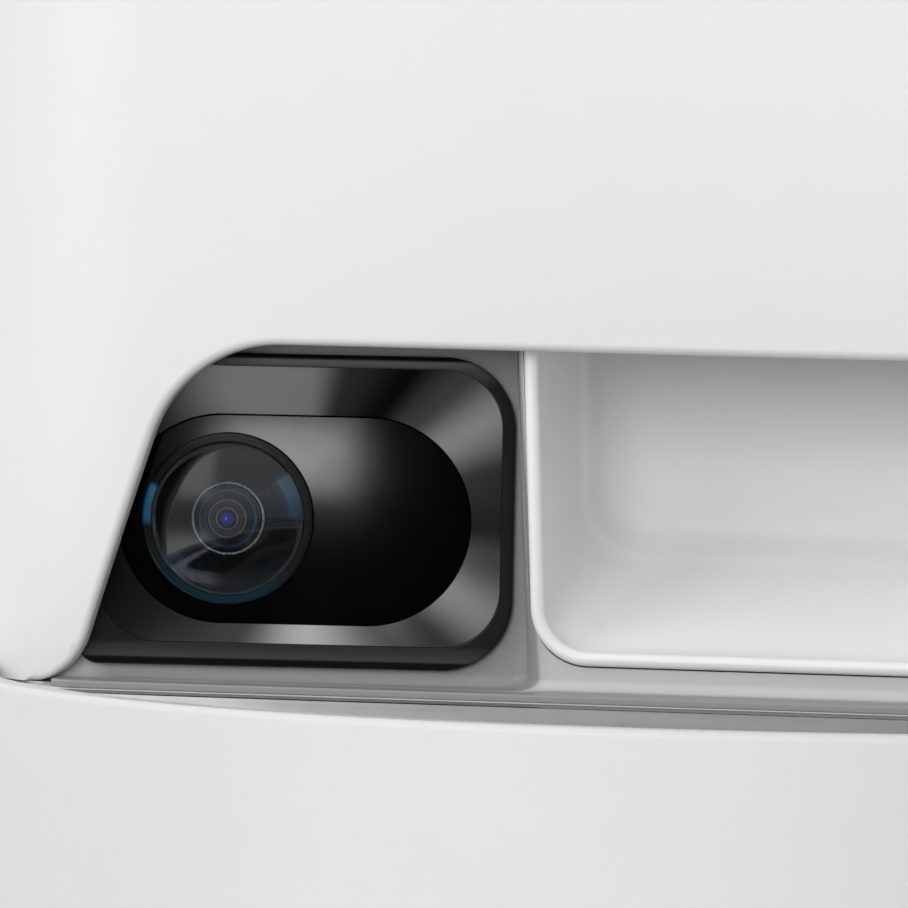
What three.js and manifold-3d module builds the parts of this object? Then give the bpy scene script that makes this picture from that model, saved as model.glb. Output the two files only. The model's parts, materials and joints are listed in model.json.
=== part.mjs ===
// Camera pet feeder: a food tank over a dosing rotor, a chute, a camera and a steel bowl.
// Millimetres. X is to the right, Y to the back and Z up. The origin is on the floor, under the middle.

import * as THREE from "three";
import { mergeVertices } from "three/addons/utils/BufferGeometryUtils.js";
import Module from "manifold-3d";

const wasm = await Module();
wasm.setup();

// Sizes shared by the whole feeder
const bodyWidth = 250;
const bodyDepth = 216;
const bodyCorner = 30;
const trayReach = 100;
const fit = 0.3;
const overrun = 2;
const weld = 0.0005;
const arcSteps = 3;
const roundSteps = 20;
const smallSteps = 10;
const smallArc = 2;
const quarter = Math.PI / 2;

// Lower body with the food tray
const footHeight = 4;
const footRadius = 10;
const footInset = 36;
const footFrontSetback = 68;
const housingWall = 2.6;
const housingEdge = 2.2;
const trayLip = 4.4;
const lipRound = 1.2;
const deckHeight = 62.5;
const trayRimRise = 2.7;
const bowlSeatDrop = 1.5;
const deckThickness = 2.5;
const basePlateThickness = 2.5;
const bossRadius = 5;
const bossSetback = 19;

// Steel bowl
const bowlFlange = 7;
const bowlDepth = 35;
const bowlSheet = 1;
const bowlSlope = 9;
const bowlFloorRound = 14;
const bowlCornerCut = 5;
const ledgeProud = 0.8;
const bowlPlay = 0.6;

// Back-up batteries: three D cells side by side
const cellDiameter = 34.2;
const cellLength = 61.5;
const cellCount = 3;
const cellPlay = 1.2;
const holderWall = 2;
const holderRib = 2;
const doorThickness = 2.4;
const contactThickness = 0.8;
const contactRadius = 7;
const contactHeight = 2.6;

// Body shell and its bell-shaped cut-out
const shellSeam = 0.4;
const shellWall = 2.8;
const shellHeight = 237.1;
const recessHeight = 50.5;
const recessBottomSide = 19.8;
const recessTopSide = 36.2;
const recessTopRound = 20;
const recessFlare = 10.5;

// Liner behind the cut-out
const linerWall = 2.4;
const linerGap = 0.4;
const pedestalSetback = 5.8;
const pedestalMargin = 1.9;
const pedestalRound = 3;
const pedestalFootRound = 6;
const wingTurn = 8 * (Math.PI / 180);
const wingSetback = 10.8;
const sillThickness = 0.8;
const sillCorner = 4;
const sillShare = 0.3;
const coveRadius = 2;
const linerCornerTurn = 50 * (Math.PI / 180);

// Chute
const chuteFromBezel = 2.7;
const chuteTaper = 2.7 * (Math.PI / 180);
const chuteCorner = 8.7;
const chuteRimWidth = 2.1;
const chuteRimProud = 1;
const chuteRimSink = 1.4;
const chuteRimLift = 5.1;
const chuteDepth = 30.7;
const chuteWall = 2;
const slideRise = 14.5;

// Camera, as flat parts that face the viewer
const bezelWidth = 63;
const bezelHeight = 45.4;
const bezelCorner = 10.5;
const bezelRim = 1.9;
const bezelLowRim = 2.8;
const bezelChin = 0.65;
const bezelEar = 1;
const bezelEarCorner = 3;
const bezelProud = 1.5;
const bezelFromSide = 51.9;
const bezelLift = 26.7;
const sleeveWall = 0.8;
const sleeveDepth = 10;
const dishDepth = 1.3;
const panelThickness = 1.6;
const windowWidth = 52.2;
const windowHeight = 30.8;
const windowThickness = 1.4;
const windowShift = 0.95;
const windowDrop = 1.7;
const domeOffset = 9.8;
const domeRingRadius = 12.65;
const domeRingHeight = 0.9;
const domeRadius = 11;
const domeHeight = 4.6;
const domeWall = 1.2;
const barrelRadius = 6.6;
const hoodGap = 0.5;
const hoodEdge = 0.5;
const lensRadius = 4.7;
const lensRingRadius = 5.3;
const lensRingHeight = 0.6;
const lensCrown = 1.5;
const boardThickness = 1.2;
const ledRadius = 2.5;
const ledHeight = 5;
const ledPitch = 13;
const ledFromDome = 24;
const micRadius = 2;
const micHeight = 1.6;
const micFromDome = 31;

// Loudspeaker in the other wing
const speakerRadius = 16;
const speakerDepth = 11;
const speakerRim = 3;
const slotCount = 5;
const slotPitch = 5;
const slotWidth = 1.8;
const slotLength = 20;

// Dispenser
const frameAboveRecess = 5;
const frameThickness = 2.5;
const postRadius = 6;
const postInset = 17;
const postFrontSetback = 46;
const gearRoom = 10.5;
const rotorRadius = 56;
const rotorGap = 2.5;
const rotorHeight = 28.5;
const rotorWall = 2.5;
const rotorSetback = 11;
const rotorFloorGap = 1;
const rotorTopGap = 2;
const bladeCount = 6;
const bladeThickness = 3;
const hubRadius = 15;
const hubTipRadius = 5;
const hubConeHeight = 9;
const coverThickness = 2;
const mouthRadius = 50;
const outletInset = 9.9;
const outletMargin = 2.4;
const shaftRadius = 4;
const shaftGrip = 14;
const bushWall = 2.2;
const bushLip = 1.2;
const moduleLength = 1;
const rotorTeeth = 48;
const pinionTeeth = 12;
const gearThickness = 6;
const gearLift = 2;
const gearHubRadius = 8;
const pressureAngle = 20 * (Math.PI / 180);
const backlash = 0.35;
const tipShare = 0.85;
const rootShare = 1.25;
const motorRadius = 12;
const motorLength = 30;
const gearboxRadius = 13.5;
const gearboxLength = 12;
const motorShaftRadius = 2.5;
const motorShaftGrip = 6;
const pinionClearance = 1.2;

// Tank
const tankWall = 2.2;
const tankSideGap = 23;
const tankFrontGap = 20;
const tankBackGap = 22;
const tankCorner = 20;
const funnelHeight = 44;
const neckShare = 0.5;
const bulgeShare = 0.42;
const tankFlange = 6;
const flangeThickness = 2.5;

// Top frame and its controls
const topFrameHeight = 15;
const topPlate = 3;
const topWall = 5.6;
const topRound = 4;
const topSkirt = 7;
const openingGap = 2;
const buttonHalfLength = 13;
const buttonHalfWidth = 4.5;
const buttonHeight = 6;
const buttonProud = 1;
const buttonFlange = 1.6;
const lightRadius = 1.8;
const lightFromButton = 24;

// Lid
const lidOverhang = 2;
const lidHeight = 6.6;
const lidWall = 2.4;
const lidRound = 2.6;
const lidWindowInsetX = 30;
const lidWindowInsetY = 43;
const lidWindowCorner = 16;
const lidWindowLedge = 3;
const lidWindowThickness = 1.4;
const linerPlate = 1.6;
const plugDepth = 6;
const plugWall = 2;
const plugPlay = 1;
const sealWidth = 3;
const sealHeight = 1.5;
const hingeFromCorner = 12;
const hingeSetback = 5;
const knuckleRadius = 3;
const knuckleLength = 7;
const earThickness = 6;
const pinRadius = 1.3;
const latchHalf = 12;
const latchHeight = 2.6;
const latchDepth = 8;
const latchProud = 1.4;
const latchTravel = 1.1;
const latchRise = 1.2;
const desiccantRadius = 30;
const desiccantHeight = 13;
const desiccantWall = 1.6;
const desiccantCoverHeight = 3;
const desiccantGrip = 2.4;
const desiccantPlay = 0.6;
const ventCount = 6;
const ventShare = 0.7;

// Service cover at the back
const serviceHalf = 60;
const serviceLift = 8.5;
const serviceHeight = 40;
const serviceCorner = 6;
const serviceLedge = 6;
const serviceLip = 1.5;
const serviceThickness = 2.4;
const screwInset = 6;
const screwHeadRadius = 3;
const screwRadius = 1.5;
const screwHeadHeight = 1.4;
const screwLength = 6;
const screwSlotWidth = 0.8;
const screwSlotDepth = 0.7;
const inletInset = 10;
const inletWidth = 11;
const inletSocket = 3.4;
const inletPin = 1;
const resetPitch = 20;
const resetRadius = 2.4;
const resetLength = 6;
const resetRecess = 0.6;
const resetFlange = 1.2;
const mainBoardInset = 8;
const mainBoardHeight = 28;
const mainBoardSetback = 16;
const standoffRadius = 2.6;
const chipHalfShare = 0.22;
const chipHeight = 2.2;

// Places that follow from the sizes
const bodyBack = (bodyDepth + trayReach) / 2;
const bodyFront = bodyBack - bodyDepth;
const bodyMiddle = (bodyBack + bodyFront) / 2;
const trayCentre = bodyFront + bodyCorner;
const trayHalfDepth = trayReach + bodyCorner;
const trayRimHeight = deckHeight + trayRimRise;
const bowlSeatHeight = deckHeight - bowlSeatDrop;
const shellBottom = deckHeight + shellSeam;
const shellTop = shellBottom + shellHeight;
const recessTop = shellBottom + recessHeight;
const recessBottomHalf = bodyWidth / 2 - recessBottomSide;
const recessTopHalf = bodyWidth / 2 - recessTopSide;
const bezelCentreX = bodyWidth / 2 - bezelFromSide;
const bezelCentreZ = deckHeight + bezelLift;
const chuteTopHalf = bezelCentreX - bezelWidth / 2 - chuteFromBezel;
const chuteRimBottom = deckHeight + chuteRimLift;
const outletHalf = chuteTopHalf - outletInset;
const frameBottom = recessTop + frameAboveRecess;
const frameTop = frameBottom + frameThickness;
const dispenserFloor = frameTop + gearRoom;
const dispenserInside = dispenserFloor + rotorWall;
const rotorBottom = dispenserInside + rotorFloorGap;
const rotorTop = rotorBottom + rotorHeight;
const dispenserTop = rotorTop + rotorTopGap;
const coverTop = dispenserTop + fit + coverThickness;
const dispenserInner = rotorRadius + rotorGap;
const dispenserOuter = dispenserInner + rotorWall;
const rotorAxis = bodyFront + shellWall + rotorSetback + dispenserOuter;
const gearDistance = (moduleLength * (rotorTeeth + pinionTeeth)) / 2;
const motorAxis = rotorAxis + gearDistance;
const gearBottom = frameTop + gearLift;
const mainBoardHalf = serviceHalf - screwInset - mainBoardInset;
const inletX = mainBoardHalf - inletInset;
const resetX = inletX - resetPitch;
const linerFront = bodyFront + pedestalSetback;
const linerBottom = deckHeight + fit;
const linerTop = frameBottom - fit;
const ledgeLine = bodyFront - ledgeProud;
const linerCorner = bodyCorner - shellWall - linerGap;
const linerCornerX = bodyWidth / 2 - bodyCorner;
const sillFront = ledgeLine + fit;
const sillTop = linerBottom + sillThickness;
const sillHalf = recessBottomHalf + recessFlare * sillShare;
const chuteFront = linerFront - chuteRimProud;
const chuteBack = chuteFront + chuteDepth;
const topFrameBottom = shellTop + fit;
const topFrameTop = topFrameBottom + topFrameHeight;
const flangeBottom = topFrameTop + fit;
const flangeTop = flangeBottom + flangeThickness;
const lidBottom = flangeTop + fit;
const overallHeight = lidBottom + lidHeight;
const tankHalf = bodyWidth / 2 - tankSideGap;
const tankFront = bodyFront + tankFrontGap;
const tankBack = bodyBack - tankBackGap;
const tankMiddle = (tankFront + tankBack) / 2;
const tankHalfDepth = (tankBack - tankFront) / 2;
const lidWindowHalfX = tankHalf - lidWindowInsetX;
const lidWindowHalfY = tankHalfDepth - lidWindowInsetY;
const hingeFromCentre = tankHalf - tankCorner - hingeFromCorner;
const hingeY = tankBack + tankFlange + lidOverhang + hingeSetback;
const hingeZ = flangeTop + knuckleRadius;

// Finishes
const finishes = {
  shellWhite: { color: 0xe9e9ea, roughness: 0.38, metalness: 0 },
  trayWhite: { color: 0xe4e5e6, roughness: 0.38, metalness: 0 },
  innerWhite: { color: 0xd8d9da, roughness: 0.5, metalness: 0 },
  steel: { color: 0xb4b6b8, roughness: 0.25, metalness: 1 },
  bezelBlack: { color: 0x2a2a2b, roughness: 0.35, metalness: 0.1 },
  panelGrey: { color: 0x4a4a4c, roughness: 0.3, metalness: 0.6 },
  windowBlack: { color: 0x050506, roughness: 0.08, metalness: 0 },
  glass: { color: 0x1d2a33, roughness: 0.05, metalness: 0 },
  smoked: { color: 0x3a3c40, roughness: 0.12, metalness: 0 },
  rubber: { color: 0x3a3a3c, roughness: 0.85, metalness: 0 },
  softGrey: { color: 0x8f9194, roughness: 0.8, metalness: 0 },
  board: { color: 0x1e5a38, roughness: 0.6, metalness: 0 },
  gearPlastic: { color: 0xf0efe8, roughness: 0.45, metalness: 0 },
  rotorPlastic: { color: 0xa9adb1, roughness: 0.5, metalness: 0 },
  brass: { color: 0xb99a4e, roughness: 0.35, metalness: 1 },
  light: { color: 0xbfe3d2, roughness: 0.3, metalness: 0 },
};

// Solids: closed meshes joined and cut
function toSolid(geometry) {
  const bare = geometry.clone();
  bare.deleteAttribute("normal");
  bare.deleteAttribute("uv");
  const merged = mergeVertices(bare);
  const corners = merged.index.array;
  const triangles = [];
  for (let i = 0; i < corners.length; i += 3) {
    const [a, b, c] = [corners[i], corners[i + 1], corners[i + 2]];
    if (a !== b && b !== c && c !== a) triangles.push(a, b, c);
  }
  const mesh = new wasm.Mesh({
    numProp: 3,
    vertProperties: merged.attributes.position.array,
    triVerts: new Uint32Array(triangles),
  });
  return new wasm.Manifold(mesh);
}

function toGeometry(solid) {
  const mesh = solid.getMesh();
  const geometry = new THREE.BufferGeometry();
  geometry.setAttribute("position", new THREE.BufferAttribute(mesh.vertProperties, 3));
  geometry.setIndex(new THREE.BufferAttribute(mesh.triVerts, 1));
  return geometry;
}

function join(...pieces) {
  return toGeometry(pieces.map(toSolid).reduce((whole, piece) => whole.add(piece)));
}

function cut(piece, ...tools) {
  return toGeometry(tools.map(toSolid).reduce((whole, tool) => whole.subtract(tool), toSolid(piece)));
}

function common(piece, other) {
  return toGeometry(toSolid(piece).intersect(toSolid(other)));
}

// Forms
function box(x0, x1, y0, y1, z0, z1) {
  const geometry = new THREE.BoxGeometry(x1 - x0, y1 - y0, z1 - z0);
  return geometry.translate((x0 + x1) / 2, (y0 + y1) / 2, (z0 + z1) / 2);
}

function slab(outline, z0, z1, holes = [], steps = arcSteps) {
  const shape = new THREE.Shape(openPoints(outline, steps));
  shape.holes = holes.map((hole) => new THREE.Path(openPoints(hole, steps)));
  const geometry = new THREE.ExtrudeGeometry(shape, { depth: z1 - z0, bevelEnabled: false });
  return geometry.translate(0, 0, z0);
}

// An outline drawn in X and Z, stretched from y0 to y1
function upright(outline, y0, y1, steps = arcSteps) {
  return slab(outline, 0, y1 - y0, [], steps).rotateX(quarter).translate(0, y1, 0);
}

// An outline drawn in Y and Z, stretched from x0 to x1
function sideways(outline, x0, x1, steps = arcSteps) {
  const turn = new THREE.Matrix4().makeBasis(
    new THREE.Vector3(0, 1, 0),
    new THREE.Vector3(0, 0, 1),
    new THREE.Vector3(1, 0, 0),
  );
  return slab(outline, x0, x1, [], steps).applyMatrix4(turn);
}

function rod(radius, z0, z1, x = 0, y = 0, steps = smallSteps) {
  const geometry = new THREE.CylinderGeometry(radius, radius, z1 - z0, steps);
  return geometry.rotateX(quarter).translate(x, y, (z0 + z1) / 2);
}

// A profile of [radius, height] points turned about Z
function turned(profile, steps = roundSteps) {
  const points = profile.map(([radius, height]) => new THREE.Vector2(radius, height));
  return new THREE.LatheGeometry(points, steps).rotateX(quarter);
}

function openPoints(outline, steps) {
  const points = outline.getPoints(steps);
  return points.filter((point, i) => point.distanceTo(points[(i + 1) % points.length]) > weld);
}

function ring(outline, height, steps = arcSteps) {
  return openPoints(outline, steps).map((point) => new THREE.Vector3(point.x, point.y, height));
}

// A skin through rings of equal count, capped at both ends, or closed on itself as a hollow tube
function loft(rings, closed = false) {
  const count = rings[0].length;
  const positions = rings.flat().flatMap((point) => [point.x, point.y, point.z]);
  const bands = closed ? rings.length : rings.length - 1;
  const corners = [];
  for (let band = 0; band < bands; band += 1) {
    const low = band * count;
    const high = ((band + 1) % rings.length) * count;
    for (let i = 0; i < count; i += 1) {
      const next = (i + 1) % count;
      corners.push(low + i, low + next, high + next, low + i, high + next, high + i);
    }
  }
  if (!closed) {
    const top = (rings.length - 1) * count;
    const flat = (points) => points.map((point) => new THREE.Vector2(point.x, point.y));
    const cap = (points) => THREE.ShapeUtils.triangulateShape(flat(points), []);
    cap(rings[0]).forEach(([a, b, c]) => corners.push(c, b, a));
    cap(rings[rings.length - 1]).forEach(([a, b, c]) => corners.push(top + a, top + b, top + c));
  }
  const geometry = new THREE.BufferGeometry();
  geometry.setAttribute("position", new THREE.Float32BufferAttribute(positions, 3));
  geometry.setIndex(corners);
  return geometry;
}

// Outlines
function roundedBox(halfX, halfY, corner, centreX = 0, centreY = 0) {
  const [right, left] = [centreX + halfX - corner, centreX - halfX + corner];
  const [back, front] = [centreY + halfY - corner, centreY - halfY + corner];
  const shape = new THREE.Shape();
  shape.moveTo(right + corner, front);
  shape.lineTo(right + corner, back);
  shape.absarc(right, back, corner, 0, quarter);
  shape.absarc(left, back, corner, quarter, 2 * quarter);
  shape.absarc(left, front, corner, 2 * quarter, 3 * quarter);
  shape.absarc(right, front, corner, 3 * quarter, 4 * quarter);
  return shape;
}

function bodyOutline(inset) {
  return roundedBox(bodyWidth / 2 - inset, bodyDepth / 2 - inset, bodyCorner - inset, 0, bodyMiddle);
}

function lowerOutline(inset) {
  const halfX = bodyWidth / 2 - inset;
  const corner = bodyCorner - inset;
  const cornerY = bodyBack - inset - corner;
  const shape = new THREE.Shape();
  shape.moveTo(halfX, trayCentre);
  shape.lineTo(halfX, cornerY);
  shape.absarc(halfX - corner, cornerY, corner, 0, quarter);
  shape.absarc(corner - halfX, cornerY, corner, quarter, 2 * quarter);
  shape.lineTo(-halfX, trayCentre);
  for (let turn = 2; turn < 4; turn += 1 / 2) {
    shape.absellipse(0, trayCentre, halfX, trayHalfDepth - inset, turn * quarter, (turn + 1 / 2) * quarter);
  }
  return shape;
}

// The tray's curve in front and a straight line at the back, with softened corners between them
function bowlOutline(inset, backLine) {
  const halfX = bodyWidth / 2 - inset;
  const halfY = trayHalfDepth - inset;
  const meet = Math.asin((backLine - trayCentre) / halfY);
  const leave = meet - bowlCornerCut / halfY;
  const cornerX = halfX * Math.cos(meet);
  const leaveX = halfX * Math.cos(leave);
  const leaveY = trayCentre + halfY * Math.sin(leave);
  const shape = new THREE.Shape();
  shape.moveTo(-leaveX, leaveY);
  const span = 2 * quarter + 2 * leave;
  for (let share = 0; share < 1; share += 1 / 4) {
    const start = 2 * quarter - leave + share * span;
    shape.absellipse(0, trayCentre, halfX, halfY, start, start + span / 4);
  }
  shape.quadraticCurveTo(cornerX, backLine, cornerX - bowlCornerCut, backLine);
  shape.lineTo(bowlCornerCut - cornerX, backLine);
  shape.quadraticCurveTo(-cornerX, backLine, -leaveX, leaveY);
  return shape;
}

// An obround: two half circles joined by straight sides
function obround(halfLength, halfHeight, x = 0, y = 0) {
  const reach = halfLength - halfHeight;
  const shape = new THREE.Shape();
  shape.absarc(x + reach, y, halfHeight, -quarter, quarter);
  shape.absarc(x - reach, y, halfHeight, quarter, 3 * quarter);
  return shape;
}

// The scene
const feeder = new THREE.Group();

function add(name, geometry, finish, parent = feeder) {
  const material = new THREE.MeshStandardMaterial(finishes[finish]);
  const mesh = new THREE.Mesh(toGeometry(toSolid(geometry)), material);
  mesh.name = name;
  parent.add(mesh);
}

// Battery bay, measured from the back wall
const bayHalf = (cellCount * cellDiameter) / 2 + cellPlay;
const bayBottom = footHeight + basePlateThickness + fit + holderWall + holderRib;
const bayTop = bayBottom + cellDiameter + cellPlay;
const bayBack = bodyBack - housingWall - fit;
const bayFront = bayBack - cellLength - cellPlay - contactHeight;
const doorBottom = bayBottom - holderRib;
const doorTop = bayTop;
const doorRound = doorThickness / 2;
const doorAxisY = bodyBack - doorRound;
const doorAxisZ = doorBottom + doorRound;

// Lower body: skirt, deck, tray lip and bowl seat, moulded as one
function baseHousing() {
  const rings = [
    ring(lowerOutline(housingEdge), footHeight),
    ring(lowerOutline(housingEdge * (1 - Math.SQRT1_2)), footHeight + housingEdge * (1 - Math.SQRT1_2)),
    ring(lowerOutline(0), footHeight + housingEdge),
    ring(lowerOutline(0), trayRimHeight - lipRound),
    ring(lowerOutline(lipRound * (1 - Math.SQRT1_2)), trayRimHeight - lipRound * (1 - Math.SQRT1_2)),
    ring(lowerOutline(lipRound), trayRimHeight),
  ];
  const bodyRoom = box(
    -bodyWidth, bodyWidth, linerFront, bodyBack * 2, footHeight - overrun, deckHeight - deckThickness,
  );
  const inside = (top) => slab(lowerOutline(housingWall), footHeight - overrun, top);
  const bossHeight = footHeight + basePlateThickness + fit;
  const bossTop = deckHeight - deckThickness / 2;
  const bosses = bossPlaces.map(([x, y]) => rod(bossRadius, bossHeight, bossTop, x, y));
  const doorway = box(
    -bayHalf - fit, bayHalf + fit, bayBack - overrun, bodyBack + overrun, doorBottom - fit, doorTop + fit,
  );
  const shell = cut(
    loft(rings),
    inside(bowlSeatHeight - deckThickness),
    common(inside(deckHeight - deckThickness), bodyRoom),
    slab(lowerOutline(trayLip), deckHeight, trayRimHeight + overrun),
    slab(bodyOutline(-fit), deckHeight, trayRimHeight + overrun),
    slab(bowlOutline(trayLip, ledgeLine), bowlSeatHeight, trayRimHeight + overrun),
    slab(bowlOutline(trayLip + bowlFlange, ledgeLine - bowlFlange), footHeight, trayRimHeight + overrun),
    doorway,
  );
  return join(shell, ...bosses);
}

const footX = bodyWidth / 2 - footInset;
const footPlaces = [
  [-footX, bodyFront - trayReach + footFrontSetback],
  [footX, bodyFront - trayReach + footFrontSetback],
  [-footX, bodyBack - footInset],
  [footX, bodyBack - footInset],
];

const bossPlaces = [
  [-footX, bodyFront + bossSetback],
  [footX, bodyFront + bossSetback],
  [-footX, bodyBack - footInset],
  [footX, bodyBack - footInset],
];

function basePlate() {
  return slab(lowerOutline(housingWall + fit), footHeight, footHeight + basePlateThickness);
}

function foot() {
  const edge = footHeight / 4;
  return turned([
    [0, 0],
    [footRadius - edge, 0],
    [footRadius, edge],
    [footRadius, footHeight],
    [0, footHeight],
  ], smallSteps);
}

function steelBowl() {
  const flangeBottomZ = bowlSeatHeight + fit;
  const floor = flangeBottomZ - bowlDepth;
  const backOf = (inset) => ledgeLine - (inset - trayLip);
  const level = (inset, height) => ring(bowlOutline(inset, backOf(inset)), height);
  const rim = trayLip + bowlPlay;
  const wall = trayLip + bowlFlange + bowlPlay;
  const skin = (grow, lift) => {
    const points = [];
    for (let i = 0; i <= arcSteps; i += 1) {
      const angle = (quarter * i) / arcSteps;
      const inset = wall + bowlSlope + grow + bowlFloorRound * (1 - Math.sin(angle));
      points.push([inset, floor + lift + bowlFloorRound * (1 - Math.cos(angle))]);
    }
    return points;
  };
  const outer = skin(0, 0).map(([inset, height]) => level(inset, height));
  const inner = skin(bowlSheet, bowlSheet).reverse().map(([inset, height]) => level(inset, height));
  return loft([
    ...outer,
    level(wall, flangeBottomZ),
    level(rim, flangeBottomZ),
    level(rim, flangeBottomZ + bowlSheet),
    level(wall + bowlSheet, flangeBottomZ + bowlSheet),
    ...inner,
  ]);
}

// Battery bay, open to the door at the back
function batteryHolder() {
  const floor = footHeight + basePlateThickness + fit;
  const outer = box(
    -bayHalf - holderWall, bayHalf + holderWall, bayFront - holderWall, bayBack, floor, bayTop + holderWall,
  );
  const inner = box(-bayHalf, bayHalf, bayFront, bayBack + overrun, floor + holderWall, bayTop);
  const ribs = [];
  for (let i = 1; i < cellCount; i += 1) {
    const x = -bayHalf + cellPlay + cellDiameter * i;
    const ridge = new THREE.Shape();
    ridge.moveTo(x - holderRib, floor + holderWall / 2);
    ridge.lineTo(x + holderRib, floor + holderWall / 2);
    ridge.lineTo(x, floor + holderWall + holderRib);
    ribs.push(upright(ridge, bayFront - holderWall / 2, bayBack - holderWall));
  }
  return join(cut(outer, inner), ...ribs);
}

// One sheet with a round spring cup for each cell
function batteryContacts() {
  const middle = (bayBottom + bayTop) / 2;
  const half = bayHalf - cellPlay;
  const sheet = box(
    -half, half, bayFront + fit, bayFront + fit + contactThickness,
    middle - contactRadius, middle + contactRadius,
  );
  const cups = [];
  for (let i = 0; i < cellCount; i += 1) {
    const x = (i - (cellCount - 1) / 2) * cellDiameter;
    const cone = turned([
      [0, 0],
      [contactRadius, 0],
      [contactRadius / 2, contactHeight],
      [0, contactHeight],
    ], smallSteps);
    cups.push(cone.rotateX(-quarter).translate(x, bayFront + fit + contactThickness / 2, middle));
  }
  return join(sheet, ...cups);
}

// The door turns on its rounded bottom edge
function batteryDoor() {
  const half = bayHalf;
  const gripHalf = cellDiameter / 4;
  const profile = new THREE.Shape();
  profile.moveTo(doorAxisY - doorRound, doorTop);
  profile.lineTo(doorAxisY - doorRound, doorAxisZ);
  profile.absarc(doorAxisY, doorAxisZ, doorRound, 2 * quarter, 4 * quarter);
  profile.lineTo(doorAxisY + doorRound, doorTop);
  const plate = sideways(profile, -half, half);
  const grip = upright(
    obround(gripHalf, gripHalf / 4, 0, doorTop - gripHalf / 2),
    bodyBack - doorThickness / 3,
    bodyBack + overrun,
  );
  return cut(plate, grip);
}

// The bell outline of the cut-out, from the shell's lower edge to its rounded upper corners
function recessOutline() {
  const slant = Math.atan2(recessBottomHalf - recessTopHalf, recessHeight);
  const topTurn = quarter - slant;
  const topCentreX = recessTopHalf - recessTopRound * Math.tan(topTurn / 2);
  const topCentreZ = recessTop - recessTopRound;
  const flareTurn = quarter - slant;
  const flareCentreX = recessBottomHalf + recessFlare * Math.tan(flareTurn / 2);
  const flareCentreZ = shellBottom + recessFlare;
  const shape = new THREE.Shape();
  shape.moveTo(flareCentreX, shellBottom - overrun);
  shape.lineTo(flareCentreX, shellBottom);
  shape.absarc(flareCentreX, flareCentreZ, recessFlare, 3 * quarter, 3 * quarter - flareTurn, true);
  shape.absarc(topCentreX, topCentreZ, recessTopRound, slant, quarter);
  shape.absarc(-topCentreX, topCentreZ, recessTopRound, quarter, 2 * quarter - slant);
  shape.absarc(-flareCentreX, flareCentreZ, recessFlare, flareTurn - quarter, -quarter, true);
  shape.lineTo(-flareCentreX, shellBottom - overrun);
  return shape;
}

const serviceBottom = deckHeight + serviceLift;
const serviceTop = serviceBottom + serviceHeight;
const serviceMiddle = (serviceBottom + serviceTop) / 2;

function serviceOutline(inset) {
  const corner = Math.max(serviceCorner - inset, serviceCorner / 2);
  return roundedBox(serviceHalf - inset, serviceHeight / 2 - inset, corner, 0, serviceMiddle);
}

function bodyShell() {
  const tube = loft([
    ring(bodyOutline(0), shellBottom),
    ring(bodyOutline(0), shellTop),
    ring(bodyOutline(shellWall), shellTop),
    ring(bodyOutline(shellWall), shellBottom),
  ], true);
  const ledgeFrontY = bodyBack - shellWall - serviceThickness;
  const ledge = upright(serviceOutline(-serviceLedge), ledgeFrontY, bodyBack - shellWall / 2);
  return cut(
    join(tube, ledge),
    upright(recessOutline(), bodyFront - overrun, trayCentre),
    upright(serviceOutline(0), bodyBack - shellWall, bodyBack + overrun),
    box(
      screwInset * 2 - serviceHalf, serviceHalf - screwInset * 2, ledgeFrontY - overrun, bodyBack,
      serviceBottom + serviceLip, serviceTop - serviceLip,
    ),
    ...screwPlaces().map(([x, z]) => rodAlong(screwRadius + fit, ledgeFrontY - overrun, bodyBack, x, z)),
  );
}

// Middle of the wing's face, and where that face runs into the shell's rounded corner
function wingCentre() {
  return new THREE.Vector2(-bezelCentreX, bodyFront + wingSetback);
}

function wingY(x) {
  return wingCentre().y + (x + bezelCentreX) * Math.tan(wingTurn);
}

function wingEnd() {
  const along = new THREE.Vector2(Math.cos(wingTurn), Math.sin(wingTurn));
  const offset = wingCentre().sub(new THREE.Vector2(-linerCornerX, trayCentre));
  const toward = offset.dot(along);
  const reach = -toward - Math.sqrt(toward * toward - offset.lengthSq() + linerCorner * linerCorner);
  return wingCentre().addScaledVector(along, reach);
}

// The liner's front in plan: shell corner, wing, and the same mirrored
function linerPath() {
  const end = wingEnd();
  const endAngle = Math.atan2(end.y - trayCentre, end.x + linerCornerX) + 4 * quarter;
  const corner = new THREE.Path();
  corner.absarc(-linerCornerX, trayCentre, linerCorner, endAngle - linerCornerTurn, endAngle);
  const wingStop = -chuteEdge(linerTop);
  const half = [...corner.getPoints(arcSteps), new THREE.Vector2(wingStop, wingY(wingStop))];
  const mirrored = half.map((point) => new THREE.Vector2(-point.x, point.y)).reverse();
  return [...half, ...mirrored];
}

// A wall of even thickness behind a path
function wallOutline(path, thickness) {
  const back = path.map((point, i) => {
    const before = path[Math.max(i - 1, 0)];
    const after = path[Math.min(i + 1, path.length - 1)];
    const into = point.clone().sub(before).normalize();
    const onward = after.clone().sub(point).normalize();
    const along = into.add(onward).normalize();
    const normal = new THREE.Vector2(-along.y, along.x);
    const bend = i === 0 || i === path.length - 1 ? 1 : along.dot(onward);
    const lean = Math.max(bend, Math.SQRT1_2);
    return point.clone().addScaledVector(normal, thickness / lean);
  });
  return new THREE.Shape([...path, ...back.reverse()]);
}

const sleeveHalfX = bezelWidth / 2 - bezelRim + sleeveWall;
const sleeveHalfY = bezelHeight / 2 - bezelRim + sleeveWall;
const sleeveCorner = bezelCorner - bezelRim + sleeveWall;

// Half the width of the chute's rim at a height
function chuteEdge(height) {
  return chuteTopHalf - (recessTop - height) * Math.tan(chuteTaper);
}

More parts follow.
